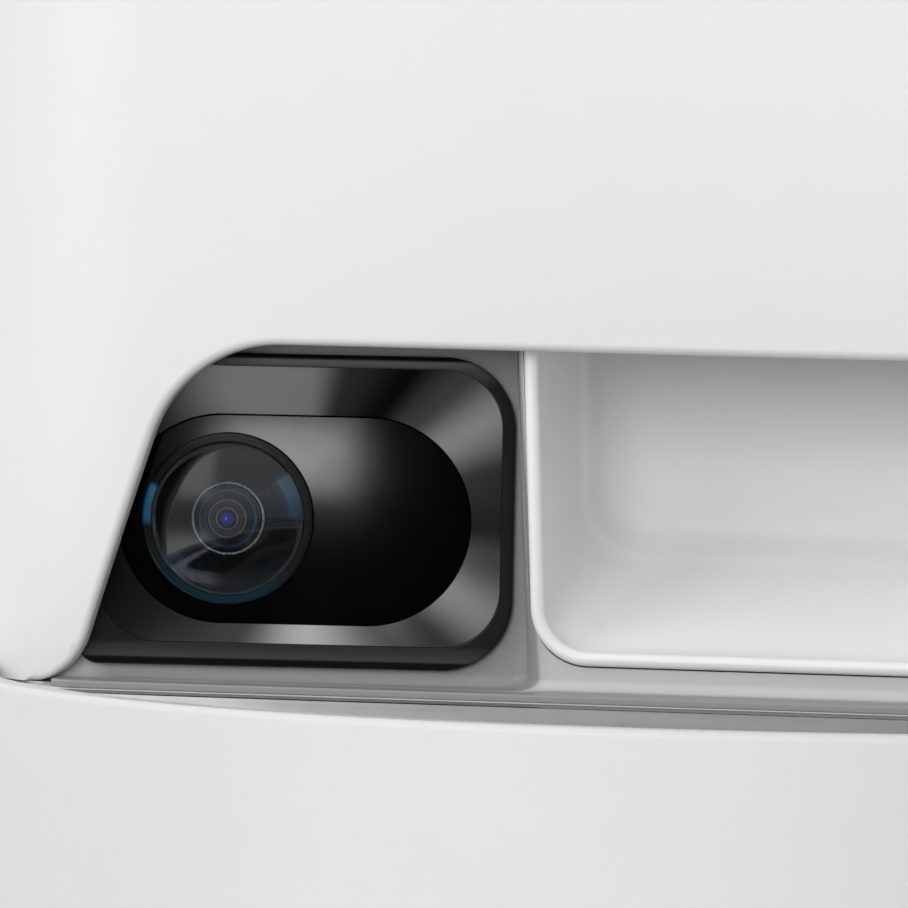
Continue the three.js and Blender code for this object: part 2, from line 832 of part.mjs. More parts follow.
// Chute mouth: straight sides that draw in towards a rounded bottom
function chuteOutline(inset) {
  const top = linerTop + overrun;
  const bottom = chuteRimBottom + inset;
  const corner = chuteCorner - inset;
  const edge = (height) => chuteEdge(height) - inset;
  const cornerZ = bottom + corner;
  const cornerX = edge(cornerZ) - corner;
  const shape = new THREE.Shape();
  shape.moveTo(-edge(top), top);
  shape.lineTo(-edge(cornerZ), cornerZ);
  shape.absarc(-cornerX, cornerZ, corner, 2 * quarter, 3 * quarter);
  shape.absarc(cornerX, cornerZ, corner, 3 * quarter, 4 * quarter);
  shape.lineTo(edge(top), top);
  return shape;
}

// A flat sill in front of the liner's foot, with a cove up to each wing
function linerSill() {
  const end = wingEnd();
  const wingStop = chuteEdge(linerTop);
  const behind = linerWall / 2;
  const depth = end.y + behind - sillFront;
  const strip = slab(
    roundedBox(sillHalf, depth / 2, Math.min(sillCorner, depth / 2 - fit), 0, sillFront + depth / 2),
    linerBottom, sillTop,
  );
  const middle = new THREE.Shape();
  middle.moveTo(end.x, end.y);
  middle.lineTo(-end.x, end.y);
  middle.lineTo(wingStop, wingY(-wingStop) + behind);
  middle.lineTo(-wingStop, wingY(-wingStop) + behind);
  const profile = new THREE.Shape();
  profile.moveTo(behind, linerBottom);
  profile.lineTo(behind, sillTop + coveRadius);
  profile.lineTo(0, sillTop + coveRadius);
  profile.absarc(-coveRadius, sillTop + coveRadius, coveRadius, 0, -quarter, true);
  profile.lineTo(-coveRadius, linerBottom);
  const outerEnd = bezelWidth / 2 + bezelEar;
  const innerEnd = bezelWidth / 2 + chuteFromBezel + pedestalRound;
  const coves = [
    sideways(profile, -outerEnd, innerEnd).rotateZ(wingTurn).translate(-bezelCentreX, wingCentre().y, 0),
    sideways(profile, -innerEnd, outerEnd).rotateZ(-wingTurn).translate(bezelCentreX, wingCentre().y, 0),
  ];
  return join(strip, slab(middle, linerBottom, sillTop), ...coves);
}

function recessLiner() {
  const wall = slab(wallOutline(linerPath(), linerWall), linerBottom, linerTop);
  const pedestalBack = wingY(-chuteEdge(linerTop)) + linerWall / 2;
  const pedestalHalf = (pedestalBack - linerFront) / 2;
  const pedestalPlan = (height, round) => ring(roundedBox(
    chuteEdge(height) + pedestalMargin, pedestalHalf, Math.min(round, pedestalHalf - fit),
    0, linerFront + pedestalHalf,
  ), height);
  const pedestal = loft([pedestalPlan(linerBottom, pedestalFootRound), pedestalPlan(linerTop, pedestalRound)]);
  const throat = chuteOutline(chuteRimWidth - chuteWall - fit);
  const mouth = upright(throat, linerFront - overrun, linerFront + chuteDepth);
  const rimSeat = upright(chuteOutline(-fit), linerFront - overrun, linerFront + chuteRimSink + fit);
  const cameraHole = slab(
    roundedBox(sleeveHalfX + fit, sleeveHalfY + fit, sleeveCorner + fit), -sleeveDepth, overrun,
  );
  cameraHole.rotateX(quarter).rotateZ(wingTurn).translate(-bezelCentreX, wingY(-bezelCentreX), bezelCentreZ);
  const slots = [];
  for (let i = 0; i < slotCount; i += 1) {
    const x = (i - (slotCount - 1) / 2) * slotPitch;
    const slot = slab(obround(slotLength / 2, slotWidth / 2), -sleeveDepth, overrun, [], smallArc);
    slot.rotateZ(quarter).translate(x, 0, 0).rotateX(quarter).rotateZ(-wingTurn);
    slots.push(slot.translate(bezelCentreX, wingY(-bezelCentreX), bezelCentreZ));
  }
  return cut(join(wall, pedestal, linerSill()), mouth, rimSeat, cameraHole, ...slots);
}

function chute() {
  const rimBack = linerFront + chuteRimSink;
  const rim = cut(
    upright(chuteOutline(0), chuteFront, rimBack),
    upright(chuteOutline(chuteRimWidth), chuteFront - overrun, rimBack + overrun),
  );
  const body = cut(
    upright(chuteOutline(chuteRimWidth - chuteWall), chuteFront + chuteRimProud / 2, chuteBack + chuteWall),
    upright(chuteOutline(chuteRimWidth), chuteFront - overrun, chuteBack),
  );
  const floor = chuteRimBottom + chuteRimWidth;
  const wedge = new THREE.Shape();
  wedge.moveTo(chuteFront + chuteRimProud, floor - chuteWall);
  wedge.lineTo(chuteBack + chuteWall / 2, floor - chuteWall);
  wedge.lineTo(chuteBack + chuteWall / 2, floor + slideRise);
  wedge.lineTo(chuteBack, floor + slideRise);
  wedge.lineTo(chuteFront + chuteRimProud, floor);
  const slide = common(
    sideways(wedge, -chuteTopHalf, chuteTopHalf),
    upright(chuteOutline(chuteRimWidth - chuteWall / 2), chuteFront, chuteBack + chuteWall),
  );
  const trim = box(-bodyWidth, bodyWidth, -bodyDepth, bodyDepth, linerTop, linerTop + bodyWidth);
  return cut(join(rim, body, slide), trim);
}

// Camera group: local Z faces the viewer, local zero is the wing's face
const cameraTurn = new THREE.Group();
cameraTurn.position.set(-bezelCentreX, wingY(-bezelCentreX), bezelCentreZ);
cameraTurn.rotation.z = wingTurn;
feeder.add(cameraTurn);
const camera = new THREE.Group();
camera.rotation.x = quarter;
cameraTurn.add(camera);
const windowX = -windowShift;
const windowY = -windowDrop;
const domeX = windowX - domeOffset;
const dishFloor = bezelProud - dishDepth - fit;
const windowTop = dishFloor - fit;
const boardTop = boardThickness - sleeveDepth;

// The bezel's outline: round corners towards the chute, tight ones and a narrow ear towards the shell
function bezelOutline(inset) {
  const [right, left] = [bezelWidth / 2 - inset, inset - bezelEar - bezelWidth / 2];
  const [top, bottom] = [bezelHeight / 2 - inset, inset - bezelChin - bezelHeight / 2];
  const wide = bezelCorner - inset;
  const tight = bezelEarCorner - inset;
  const shape = new THREE.Shape();
  shape.moveTo(right, bottom + wide);
  shape.absarc(right - wide, top - wide, wide, 0, quarter);
  shape.absarc(left + tight, top - tight, tight, quarter, 2 * quarter);
  shape.absarc(left + tight, bottom + tight, tight, 2 * quarter, 3 * quarter);
  shape.absarc(right - wide, bottom + wide, wide, 3 * quarter, 4 * quarter);
  return shape;
}

// The opening in the bezel, over a rim that is deeper at the bottom
function bezelOpening(inset) {
  const top = bezelHeight / 2 - bezelRim;
  const bottom = bezelLowRim - bezelHeight / 2;
  return roundedBox(
    bezelWidth / 2 - bezelRim - inset, (top - bottom) / 2 - inset, bezelCorner - bezelRim - inset,
    0, (top + bottom) / 2,
  );
}

function cameraBezel() {
  const round = bezelProud / 3;
  const outer = (inset, height) => ring(bezelOutline(inset), height);
  const flange = loft([outer(0, fit), outer(0, bezelProud - round), outer(round, bezelProud)]);
  const sleeve = slab(roundedBox(sleeveHalfX, sleeveHalfY, sleeveCorner), -sleeveDepth, fit * 2);
  return cut(join(flange, sleeve), slab(bezelOpening(0), -sleeveDepth - overrun, bezelProud + overrun));
}

// A dished panel whose floor runs down to the window's edge
function bevelPanel() {
  const outline = bezelOpening(fit);
  const top = bezelProud - fit;
  const reach = windowWidth / 2 - windowHeight / 2;
  const stretch = (top + overrun - dishFloor) / (top - dishFloor);
  const low = [];
  const high = [];
  for (const point of openPoints(outline, arcSteps)) {
    const along = THREE.MathUtils.clamp(point.x - windowX, -reach, reach);
    const spine = new THREE.Vector2(along + windowX, windowY);
    const away = point.clone().sub(spine).normalize();
    const near = spine.clone().addScaledVector(away, windowHeight / 2 + fit);
    const far = near.clone().lerp(point, stretch);
    low.push(new THREE.Vector3(near.x, near.y, dishFloor));
    high.push(new THREE.Vector3(far.x, far.y, top + overrun));
  }
  const hole = obround(windowWidth / 2 + fit, windowHeight / 2 + fit, windowX, windowY);
  return cut(
    slab(outline, dishFloor - panelThickness, top),
    loft([low, high]),
    slab(hole, dishFloor - panelThickness - overrun, dishFloor + fit),
  );
}

function cameraWindow() {
  const outline = obround(windowWidth / 2, windowHeight / 2, windowX, windowY);
  const pane = slab(outline, windowTop - windowThickness, windowTop);
  const hole = rod(
    domeRadius + fit, windowTop - windowThickness - overrun, windowTop + overrun, domeX, windowY, roundSteps,
  );
  return cut(pane, hole);
}

function domeRing() {
  const bottom = windowTop + fit;
  const inner = domeRadius + fit;
  return turned([
    [inner, bottom],
    [domeRingRadius, bottom],
    [domeRingRadius, bottom + domeRingHeight / 2],
    [domeRingRadius - domeRingHeight / 2, bottom + domeRingHeight],
    [inner, bottom + domeRingHeight],
    [inner, bottom],
  ]).translate(domeX, windowY, 0);
}

function arcProfile(radius, rise, base, steps) {
  const sphere = (radius * radius + rise * rise) / (2 * rise);
  const span = Math.asin(radius / sphere);
  const points = [];
  for (let i = 0; i <= steps; i += 1) {
    const angle = span * (1 - i / steps);
    points.push([sphere * Math.sin(angle), base + sphere * Math.cos(angle) - (sphere - rise)]);
  }
  points[steps][0] = 0;
  return points;
}

function cameraDome() {
  const base = windowTop - windowThickness;
  const outer = arcProfile(domeRadius, domeHeight, base + domeWall, arcSteps);
  const inner = arcProfile(domeRadius - domeWall, domeHeight - domeWall, base + domeWall, arcSteps).reverse();
  const profile = [...inner, [domeRadius - domeWall, base], [domeRadius, base], ...outer];
  return turned(profile).translate(domeX, windowY, 0);
}

const barrelTop = windowTop - windowThickness + domeHeight - domeWall - lensCrown - lensRingHeight;

// A barrel that flares into a hood under the dome
function lensBarrel() {
  const bottom = boardTop + fit;
  const seat = barrelTop - lensRingHeight;
  const hood = domeRadius - domeWall - hoodGap;
  const hoodBottom = windowTop - windowThickness;
  return turned([
    [0, bottom],
    [barrelRadius, bottom],
    [barrelRadius, hoodBottom - hoodEdge],
    [hood, hoodBottom],
    [hood, hoodBottom + hoodEdge],
    [lensRingRadius + fit * 2, barrelTop],
    [lensRingRadius + fit, barrelTop],
    [lensRingRadius + fit, seat],
    [0, seat],
  ]).translate(domeX, windowY, 0);
}

function lensRing() {
  const bottom = barrelTop - lensRingHeight + fit;
  return turned([
    [lensRadius + fit, bottom],
    [lensRingRadius, bottom],
    [lensRingRadius, bottom + lensRingHeight],
    [lensRadius + fit, bottom + lensRingHeight],
    [lensRadius + fit, bottom],
  ]).translate(domeX, windowY, 0);
}

function frontLens() {
  const bottom = barrelTop - lensRingHeight + fit;
  const rim = bottom + lensRingHeight / 2;
  const crown = arcProfile(lensRadius, lensCrown, rim, arcSteps);
  return turned([[0, bottom], [lensRadius, bottom], ...crown]).translate(domeX, windowY, 0);
}

function cameraBoard() {
  return slab(bezelOpening(fit), -sleeveDepth, boardTop);
}

function infraredLamp(side) {
  const bottom = boardTop + fit;
  const shoulder = ledHeight - ledRadius;
  const crown = arcProfile(ledRadius, ledRadius, bottom + shoulder, arcSteps);
  const lamp = turned([[0, bottom], [ledRadius, bottom], ...crown], smallSteps);
  return lamp.translate(domeX + ledFromDome, windowY + (side * ledPitch) / 2, 0);
}

function microphone() {
  const bottom = boardTop + fit;
  return rod(micRadius, bottom, bottom + micHeight, domeX + micFromDome, windowY);
}

// Speaker group, turned the other way
const speakerTurn = new THREE.Group();
speakerTurn.position.set(bezelCentreX, wingY(-bezelCentreX), bezelCentreZ);
speakerTurn.rotation.z = -wingTurn;
feeder.add(speakerTurn);

function speaker() {
  const face = -linerWall - fit;
  const magnet = speakerRadius / 2;
  return turned([
    [0, face - speakerDepth],
    [magnet, face - speakerDepth],
    [magnet, face - speakerDepth / 2],
    [speakerRadius, face - speakerRim],
    [speakerRadius, face],
    [speakerRadius - speakerRim, face],
    [0, face - speakerRim],
  ]).rotateX(quarter);
}

// Frame that carries the dispenser and the motor
function innerFrame() {
  const plate = slab(bodyOutline(shellWall + fit), frameBottom, frameTop);
  const postX = bodyWidth / 2 - postInset;
  const posts = [];
  for (const x of [-postX, postX]) {
    for (const y of [bodyFront + postFrontSetback, bodyBack - postInset * 2]) {
      posts.push(rod(postRadius, deckHeight + fit, frameBottom + frameThickness / 2, x, y));
    }
  }
  const drop = slab(outletOutline(-rotorWall - fit), frameBottom - overrun, frameTop + overrun);
  const shaftHole = rod(
    motorShaftRadius + pinionClearance, frameBottom - overrun, frameTop + overrun, 0, motorAxis,
  );
  return cut(join(plate, ...posts), drop, shaftHole);
}

// Where the food falls: a box in plan, drawn in front of the rotor's hub
function outletOutline(inset) {
  const front = rotorAxis - rotorRadius + inset;
  const back = chuteBack - outletMargin - inset;
  return roundedBox(outletHalf - inset, (back - front) / 2, outletMargin, 0, (front + back) / 2);
}

function rotorHousing() {
  const pot = turned([
    [shaftRadius + bushWall + fit, dispenserFloor],
    [dispenserOuter, dispenserFloor],
    [dispenserOuter, dispenserTop],
    [dispenserInner, dispenserTop],
    [dispenserInner, dispenserInside],
    [shaftRadius + bushWall + fit, dispenserInside],
    [shaftRadius + bushWall + fit, dispenserFloor],
  ]).translate(0, rotorAxis, 0);
  const legInner = dispenserOuter - rotorWall;
  const skirt = turned([
    [legInner, frameTop + fit],
    [dispenserOuter, frameTop + fit],
    [dispenserOuter, dispenserFloor + rotorWall / 2],
    [legInner, dispenserFloor + rotorWall / 2],
    [legInner, frameTop + fit],
  ]).translate(0, rotorAxis, 0);
  const duct = slab(outletOutline(-rotorWall), frameBottom, dispenserFloor + rotorWall / 2);
  const drop = slab(outletOutline(0), frameBottom - overrun, dispenserInside + overrun);
  return cut(join(pot, skirt, duct), drop);
}

function rotorBushing() {
  const bore = shaftRadius + fit;
  const outer = shaftRadius + bushWall;
  return turned([
    [bore, dispenserFloor - bushLip],
    [outer + bushLip, dispenserFloor - bushLip],
    [outer + bushLip, dispenserFloor - fit],
    [outer, dispenserFloor - fit],
    [outer, dispenserInside],
    [bore, dispenserInside],
    [bore, dispenserFloor - bushLip],
  ], smallSteps).translate(0, rotorAxis, 0);
}

// Blades round a cone that sheds the food outwards
function rotor() {
  const hub = turned([
    [0, rotorBottom],
    [hubRadius, rotorBottom],
    [hubRadius, rotorTop - hubConeHeight],
    [hubTipRadius, rotorTop],
    [0, rotorTop],
  ]);
  const blades = [];
  for (let i = 0; i < bladeCount; i += 1) {
    const angle = ((i + 1 / 2) / bladeCount) * 4 * quarter;
    const reach = rotorRadius - bladeThickness;
    const outline = new THREE.Shape();
    outline.moveTo(0, rotorBottom);
    outline.lineTo(reach, rotorBottom);
    outline.absarc(reach, rotorBottom + bladeThickness, bladeThickness, 3 * quarter, 4 * quarter);
    outline.lineTo(rotorRadius, rotorTop - bladeThickness);
    outline.absarc(reach, rotorTop - bladeThickness, bladeThickness, 0, quarter);
    outline.lineTo(hubRadius, rotorTop - hubConeHeight);
    outline.lineTo(0, rotorTop - hubConeHeight);
    blades.push(upright(outline, -bladeThickness / 2, bladeThickness / 2, 2).rotateZ(angle));
  }
  const bore = rod(shaftRadius + fit, rotorBottom - overrun, rotorBottom + shaftGrip + fit);
  return cut(join(hub, ...blades), bore).translate(0, rotorAxis, 0);
}

function rotorShaft() {
  return rod(shaftRadius, frameTop + fit, rotorBottom + shaftGrip, 0, rotorAxis);
}

// A spur gear with involute flanks, drawn one tooth at a time
function gearOutline(teeth, phase) {
  const pitch = (moduleLength * teeth) / 2;
  const base = pitch * Math.cos(pressureAngle);
  const tip = pitch + moduleLength * tipShare;
  const root = pitch - moduleLength * rootShare;
  const involute = (radius) => {
    const angle = Math.acos(Math.min(base / radius, 1));
    return Math.tan(angle) - angle;
  };
  const halfAtPitch = quarter / teeth - backlash / 2 / pitch;
  const half = (radius) => halfAtPitch + involute(pitch) - involute(Math.max(radius, base));
  const rise = [root, Math.max(base, root), pitch, tip];
  const points = [];
  for (let tooth = 0; tooth < teeth; tooth += 1) {
    const centre = phase + (tooth / teeth) * 4 * quarter;
    const place = (radius, angle) => new THREE.Vector2(radius * Math.cos(angle), radius * Math.sin(angle));
    points.push(...rise.map((radius) => place(radius, centre - half(radius))));
    points.push(...[...rise].reverse().map((radius) => place(radius, centre + half(radius))));
  }
  return new THREE.Shape(points);
}

function rotorGear() {
  const wheel = slab(gearOutline(rotorTeeth, quarter), gearBottom, gearBottom + gearThickness);
  const hub = rod(gearHubRadius, gearBottom - gearLift / 2, gearBottom + gearThickness / 2);
  const bore = rod(shaftRadius + fit, frameTop, dispenserFloor);
  return cut(join(wheel, hub), bore).translate(0, rotorAxis, 0);
}

function motorPinion() {
  const halfTooth = (2 * quarter) / pinionTeeth;
  const wheel = slab(gearOutline(pinionTeeth, halfTooth - quarter), gearBottom, gearBottom + gearThickness);
  const shaft = rod(motorShaftRadius, frameBottom - motorShaftGrip, gearBottom + gearThickness / 2);
  return join(wheel, shaft).translate(0, motorAxis, 0);
}

function motor() {
  const top = frameBottom - fit;
  const can = top - gearboxLength - motorLength;
  const body = turned([
    [0, can],
    [motorRadius, can],
    [motorRadius, top - gearboxLength],
    [gearboxRadius, top - gearboxLength],
    [gearboxRadius, top],
    [0, top],
  ]);
  const bore = rod(motorShaftRadius + fit, top - motorShaftGrip - fit, top + overrun);
  return cut(body, bore).translate(0, motorAxis, 0);
}

// A plate over the rotor, closed above the outlet so that only measured food drops
function rotorCover() {
  const bottom = dispenserTop + fit;
  const disc = turned([
    [0, bottom],
    [dispenserOuter, bottom],
    [dispenserOuter, coverTop],
    [0, coverTop],
  ]);
  const open = common(
    rod(mouthRadius - tankWall, bottom - overrun, coverTop + overrun, 0, 0, roundSteps),
    box(-mouthRadius, mouthRadius, -hubRadius, mouthRadius, bottom - overrun, coverTop + overrun),
  );
  return cut(disc, open).translate(0, rotorAxis, 0);
}

// Tank: straight walls above a funnel that turns from a rounded box to the round mouth
function tank() {
  const bottom = coverTop + fit;
  const funnelTop = bottom + funnelHeight;
  const wide = (grow, height) => ring(
    roundedBox(tankHalf + grow, tankHalfDepth + grow, tankCorner + grow, 0, tankMiddle), height,
  );
  const round = (radius, height) => wide(0, height).map((point) => {
    const angle = Math.atan2((point.y - tankMiddle) / tankHalfDepth, point.x / tankHalf);
    return new THREE.Vector3(radius * Math.cos(angle), rotorAxis + radius * Math.sin(angle), height);
  });
  const neck = funnelTop - funnelHeight * (1 - neckShare);
  const between = (grow) => wide(grow, neck).map((point, i) => {
    const low = round(mouthRadius + grow, neck)[i];
    return point.lerp(low, bulgeShare);
  });
  const body = loft([
    round(mouthRadius, bottom),
    between(0),
    wide(0, funnelTop),
    wide(0, flangeBottom),
    wide(tankFlange, flangeBottom),
    wide(tankFlange, flangeTop),
    wide(-tankWall, flangeTop),
    wide(-tankWall, funnelTop),
    between(-tankWall),
    round(mouthRadius - tankWall, bottom),
  ], true);
  return join(body, ...earPlaces().map(hingeEar));
}

function earPlaces() {
  const places = [];
  for (const centre of [-hingeFromCentre, hingeFromCentre]) {
    for (const side of [-1, 1]) {
      places.push(centre + side * (knuckleLength / 2 + fit + earThickness / 2));
    }
  }
  return places;
}

function hingeEar(x) {
  const profile = new THREE.Shape();
  profile.moveTo(tankBack + tankFlange / 2, flangeBottom);
  profile.lineTo(hingeY + knuckleRadius, flangeBottom);
  profile.lineTo(hingeY + knuckleRadius, hingeZ);
  profile.absarc(hingeY, hingeZ, knuckleRadius, 0, 2 * quarter);
  profile.lineTo(hingeY - knuckleRadius, flangeTop);
  profile.lineTo(tankBack + tankFlange / 2, flangeTop);
  const plate = sideways(profile, x - earThickness / 2, x + earThickness / 2);
  const bore = rod(pinRadius + fit, -earThickness, earThickness).rotateY(quarter);
  return cut(plate, bore.translate(x, hingeY, hingeZ));
}

function hingePin(centre) {
  const half = knuckleLength / 2 + fit + earThickness;
  return rod(pinRadius, -half, half).rotateY(quarter).translate(centre, hingeY, hingeZ);
}

// Frame round the tank, with the button and the light in front
const buttonY = (bodyFront + tankFront - openingGap) / 2;

function openingOutline(gap) {
  return roundedBox(tankHalf + gap, tankHalfDepth + gap, tankCorner + gap, 0, tankMiddle);
}

function topFrame() {
  const rounding = [0, 1, 2].map((i) => (quarter * i) / 2);
  const rings = [
    ring(bodyOutline(0), topFrameBottom),
    ...rounding.map((angle) => ring(
      bodyOutline(topRound * (1 - Math.cos(angle))),
      topFrameTop - topRound * (1 - Math.sin(angle)),
    )),
  ];
  const skirt = slab(bodyOutline(shellWall + fit), topFrameBottom - topSkirt, topFrameBottom + topWall);
  const hollow = slab(
    bodyOutline(topWall), topFrameBottom - topSkirt - overrun, topFrameTop - topPlate,
  );
  const collar = slab(
    openingOutline(openingGap * 2),
    topFrameBottom,
    topFrameTop - topPlate / 2,
  );
  const buttonHole = slab(
    obround(buttonHalfLength + fit, buttonHalfWidth + fit, 0, buttonY), topFrameBottom, topFrameTop + overrun,
  );
  const lightHole = rod(
    lightRadius + fit, topFrameTop - topPlate - overrun, topFrameTop + overrun, lightFromButton, buttonY,
  );
  const flangeRoom = slab(
    obround(buttonHalfLength + buttonFlange + fit, buttonHalfWidth + buttonFlange + fit, 0, buttonY),
    topFrameBottom - topSkirt - overrun,
    topFrameTop - topPlate,
  );
  return cut(
    join(cut(join(loft(rings), skirt), hollow), collar),
    flangeRoom,
    slab(openingOutline(openingGap), topFrameBottom - topSkirt - overrun, topFrameTop + overrun),
    buttonHole,
    lightHole,
  );
}

function feedButton() {
  const top = topFrameTop + buttonProud;
  const flangeUnder = topFrameTop - topPlate - fit;
  const cap = slab(obround(buttonHalfLength, buttonHalfWidth, 0, buttonY), top - buttonHeight, top);
  const dish = new THREE.SphereGeometry(buttonHalfLength * 2, roundSteps, roundSteps / 2);
  dish.translate(0, buttonY, top + buttonHalfLength * 2 - buttonProud / 2);
  const flange = slab(
    obround(buttonHalfLength + buttonFlange, buttonHalfWidth + buttonFlange, 0, buttonY),
    top - buttonHeight,
    flangeUnder,
  );
  return cut(join(cap, flange), dish);
}

function statusLight() {
  return rod(lightRadius, topFrameTop - topPlate, topFrameTop + fit, lightFromButton, buttonY);
}

// Lid: a shallow cap with a smoked window
function lidOutline(inset, gap = 0) {
  const grow = tankFlange + lidOverhang - inset - gap;
  return roundedBox(tankHalf + grow, tankHalfDepth + grow, tankCorner + grow, 0, tankMiddle);
}

function lidWindowOutline(inset) {
  return roundedBox(lidWindowHalfX - inset, lidWindowHalfY - inset, lidWindowCorner - inset, 0, tankMiddle);
}

const lidFrontY = tankFront - tankFlange - lidOverhang;
const latchZ = lidBottom + latchRise;

function lidCover() {
  const rounding = [0, 1, 2].map((i) => (quarter * i) / 2);
  const cap = loft([
    ring(lidOutline(0), lidBottom),
    ...rounding.map((angle) => ring(
      lidOutline(lidRound * (1 - Math.cos(angle))),
      overallHeight - lidRound * (1 - Math.sin(angle)),
    )),
  ]);
  const hollow = slab(lidOutline(lidWall), lidBottom - overrun, overallHeight - lidWall);
  const latchHole = box(
    -latchHalf - fit, latchHalf + fit, lidFrontY - overrun, lidFrontY + lidWall + overrun,
    latchZ - fit, latchZ + latchHeight + fit,
  );
  const shell = cut(
    cap,
    hollow,
    slab(lidWindowOutline(0), overallHeight - lidWindowThickness - fit, overallHeight + overrun),
    slab(lidWindowOutline(lidWindowLedge), lidBottom, overallHeight + overrun),
    latchHole,
  );
  return join(shell, ...[-hingeFromCentre, hingeFromCentre].map(lidKnuckle));
}

function lidKnuckle(centre) {
  const edge = tankBack + tankFlange + lidOverhang;
  const profile = new THREE.Shape();
  profile.moveTo(edge - lidWall / 2, lidBottom);
  profile.lineTo(hingeY, lidBottom);
  profile.absarc(hingeY, hingeZ, knuckleRadius, -quarter, quarter);
  profile.lineTo(edge - lidWall / 2, hingeZ + knuckleRadius / 2);
  const plate = sideways(profile, centre - knuckleLength / 2, centre + knuckleLength / 2);
  const bore = rod(pinRadius + fit, -knuckleLength, knuckleLength).rotateY(quarter);
  return cut(plate, bore.translate(centre, hingeY, hingeZ));
}

function lidWindow() {
  return slab(lidWindowOutline(fit), overallHeight - lidWindowThickness, overallHeight);
}

// Inner plate of the lid, with a plug that drops into the tank's mouth
function lidLiner() {
  const top = overallHeight - lidWall - fit;
  const plate = slab(lidOutline(lidWall, fit), top - linerPlate, top);
  const plug = (inset) => {
    const shrink = tankWall + plugPlay + inset;
    return roundedBox(tankHalf - shrink, tankHalfDepth - shrink, tankCorner - shrink, 0, tankMiddle);
  };
  const wall = slab(plug(0), flangeTop - plugDepth, top - linerPlate / 2, [plug(plugWall)]);
  const view = slab(lidWindowOutline(lidWindowLedge), top - linerPlate - overrun, top + overrun);
  const carrier = rod(desiccantRadius + desiccantGrip, top - linerPlate, top, 0, tankMiddle, roundSteps);
  const latchRoom = box(
    -latchHalf - fit, latchHalf + fit, lidFrontY, lidFrontY + lidWall + latchDepth,
    lidBottom - overrun, overallHeight,
  );
  return cut(join(cut(join(plate, wall), view), carrier, crossBars(top)), latchRoom);
}

function crossBars(top) {
  return box(
    -lidWindowHalfX, lidWindowHalfX, tankMiddle - desiccantGrip * 2, tankMiddle + desiccantGrip * 2,
    top - linerPlate, top,
  );
}

function lidSeal() {
  const outer = plugPlay + tankWall;
  const place = (grow) => roundedBox(
    tankHalf - outer + grow, tankHalfDepth - outer + grow, tankCorner - outer + grow, 0, tankMiddle,
  );
  const top = overallHeight - lidWall - fit - linerPlate - fit;
  return slab(place(fit + sealWidth), top - sealHeight, top, [place(fit)]);
}

function lidLatch() {
  const halfDepth = (latchDepth - latchTravel) / 2;
  const outline = roundedBox(latchHalf, halfDepth, latchProud, 0, lidFrontY - latchProud + halfDepth);
  return slab(outline, latchZ, latchZ + latchHeight);
}

const desiccantTop = overallHeight - lidWall - fit - linerPlate - fit;

function desiccantBox() {
  const bottom = desiccantTop - desiccantHeight;
  return turned([
    [0, desiccantTop - desiccantWall],
    [desiccantRadius - desiccantWall, desiccantTop - desiccantWall],
    [desiccantRadius - desiccantWall, bottom],
    [desiccantRadius, bottom],
    [desiccantRadius, desiccantTop],
    [0, desiccantTop],
  ]).translate(0, tankMiddle, 0);
}

// Cover under the desiccant, with a bar to grip
function desiccantCover() {
  const top = desiccantTop - desiccantHeight - fit;
  const bottom = top - desiccantCoverHeight;
  const cap = turned([
    [0, bottom],
    [desiccantRadius + desiccantGrip, bottom],
    [desiccantRadius + desiccantGrip, top + desiccantCoverHeight],
    [desiccantRadius + desiccantPlay, top + desiccantCoverHeight],
    [desiccantRadius + desiccantPlay, top],
    [0, top],
  ]);
  const bar = box(
    -desiccantRadius / 2, desiccantRadius / 2, -desiccantGrip, desiccantGrip,
    bottom - desiccantGrip, bottom + desiccantGrip / 2,
  );
  const slots = [];
  for (let i = 0; i < ventCount; i += 1) {
    const outline = obround(desiccantRadius / ventCount, desiccantWall / 2, desiccantRadius * ventShare, 0);
    const slot = slab(outline, bottom - overrun, top + overrun, [], smallArc / 2);
    slots.push(slot.rotateZ(((i + 1 / 2) / ventCount) * 4 * quarter));
  }
  return cut(join(cap, bar), ...slots).translate(0, tankMiddle, 0);
}

// Service cover, its screws and what it carries
const coverOutside = bodyBack;
const coverInside = bodyBack - serviceThickness;
const boardFace = bodyBack - mainBoardSetback;

function screwPlaces() {
  const x = serviceHalf - screwInset;
  const low = serviceBottom + screwInset;
  const high = serviceTop - screwInset;
  return [[-x, low], [x, low], [-x, high], [x, high]];
}

// A rod along Y
function rodAlong(radius, y0, y1, x, z, steps = smallSteps) {
  return rod(radius, y0, y1, 0, 0, steps).rotateX(-quarter).translate(x, 0, z);
}

function serviceCover() {
  const plate = upright(serviceOutline(fit), coverInside, coverOutside);
  const reach = mainBoardHeight / 2 - standoffRadius;
  const standoffs = [];
  for (const x of [-mainBoardHalf + standoffRadius, mainBoardHalf - standoffRadius]) {
    for (const z of [serviceMiddle - reach, serviceMiddle + reach]) {
      const root = coverInside + serviceThickness / 2;
      standoffs.push(rodAlong(standoffRadius, boardFace + boardThickness + fit, root, x, z));
    }
  }
  const screwHoles = screwPlaces().flatMap(([x, z]) => [
    rodAlong(screwRadius + fit, coverInside - overrun, coverOutside + overrun, x, z),
    rodAlong(screwHeadRadius + fit, coverOutside - screwHeadHeight - fit, coverOutside + overrun, x, z),
  ]);
  const round = (radius, x) => rodAlong(
    radius, coverInside - overrun, coverOutside + overrun, x, serviceMiddle,
  );
  const vents = [];
  for (let i = 0; i < slotCount; i += 1) {
    const z = serviceMiddle + (i - (slotCount - 1) / 2) * slotPitch;
    const vent = obround(slotLength / 2, slotWidth / 2, -serviceHalf / 3, z);
    vents.push(upright(vent, coverInside - overrun, coverOutside + overrun, smallArc));
  }
  const sockets = [round(inletSocket + fit, inletX), round(resetRadius + fit, resetX)];
  return cut(join(plate, ...standoffs), ...screwHoles, ...sockets, ...vents);
}

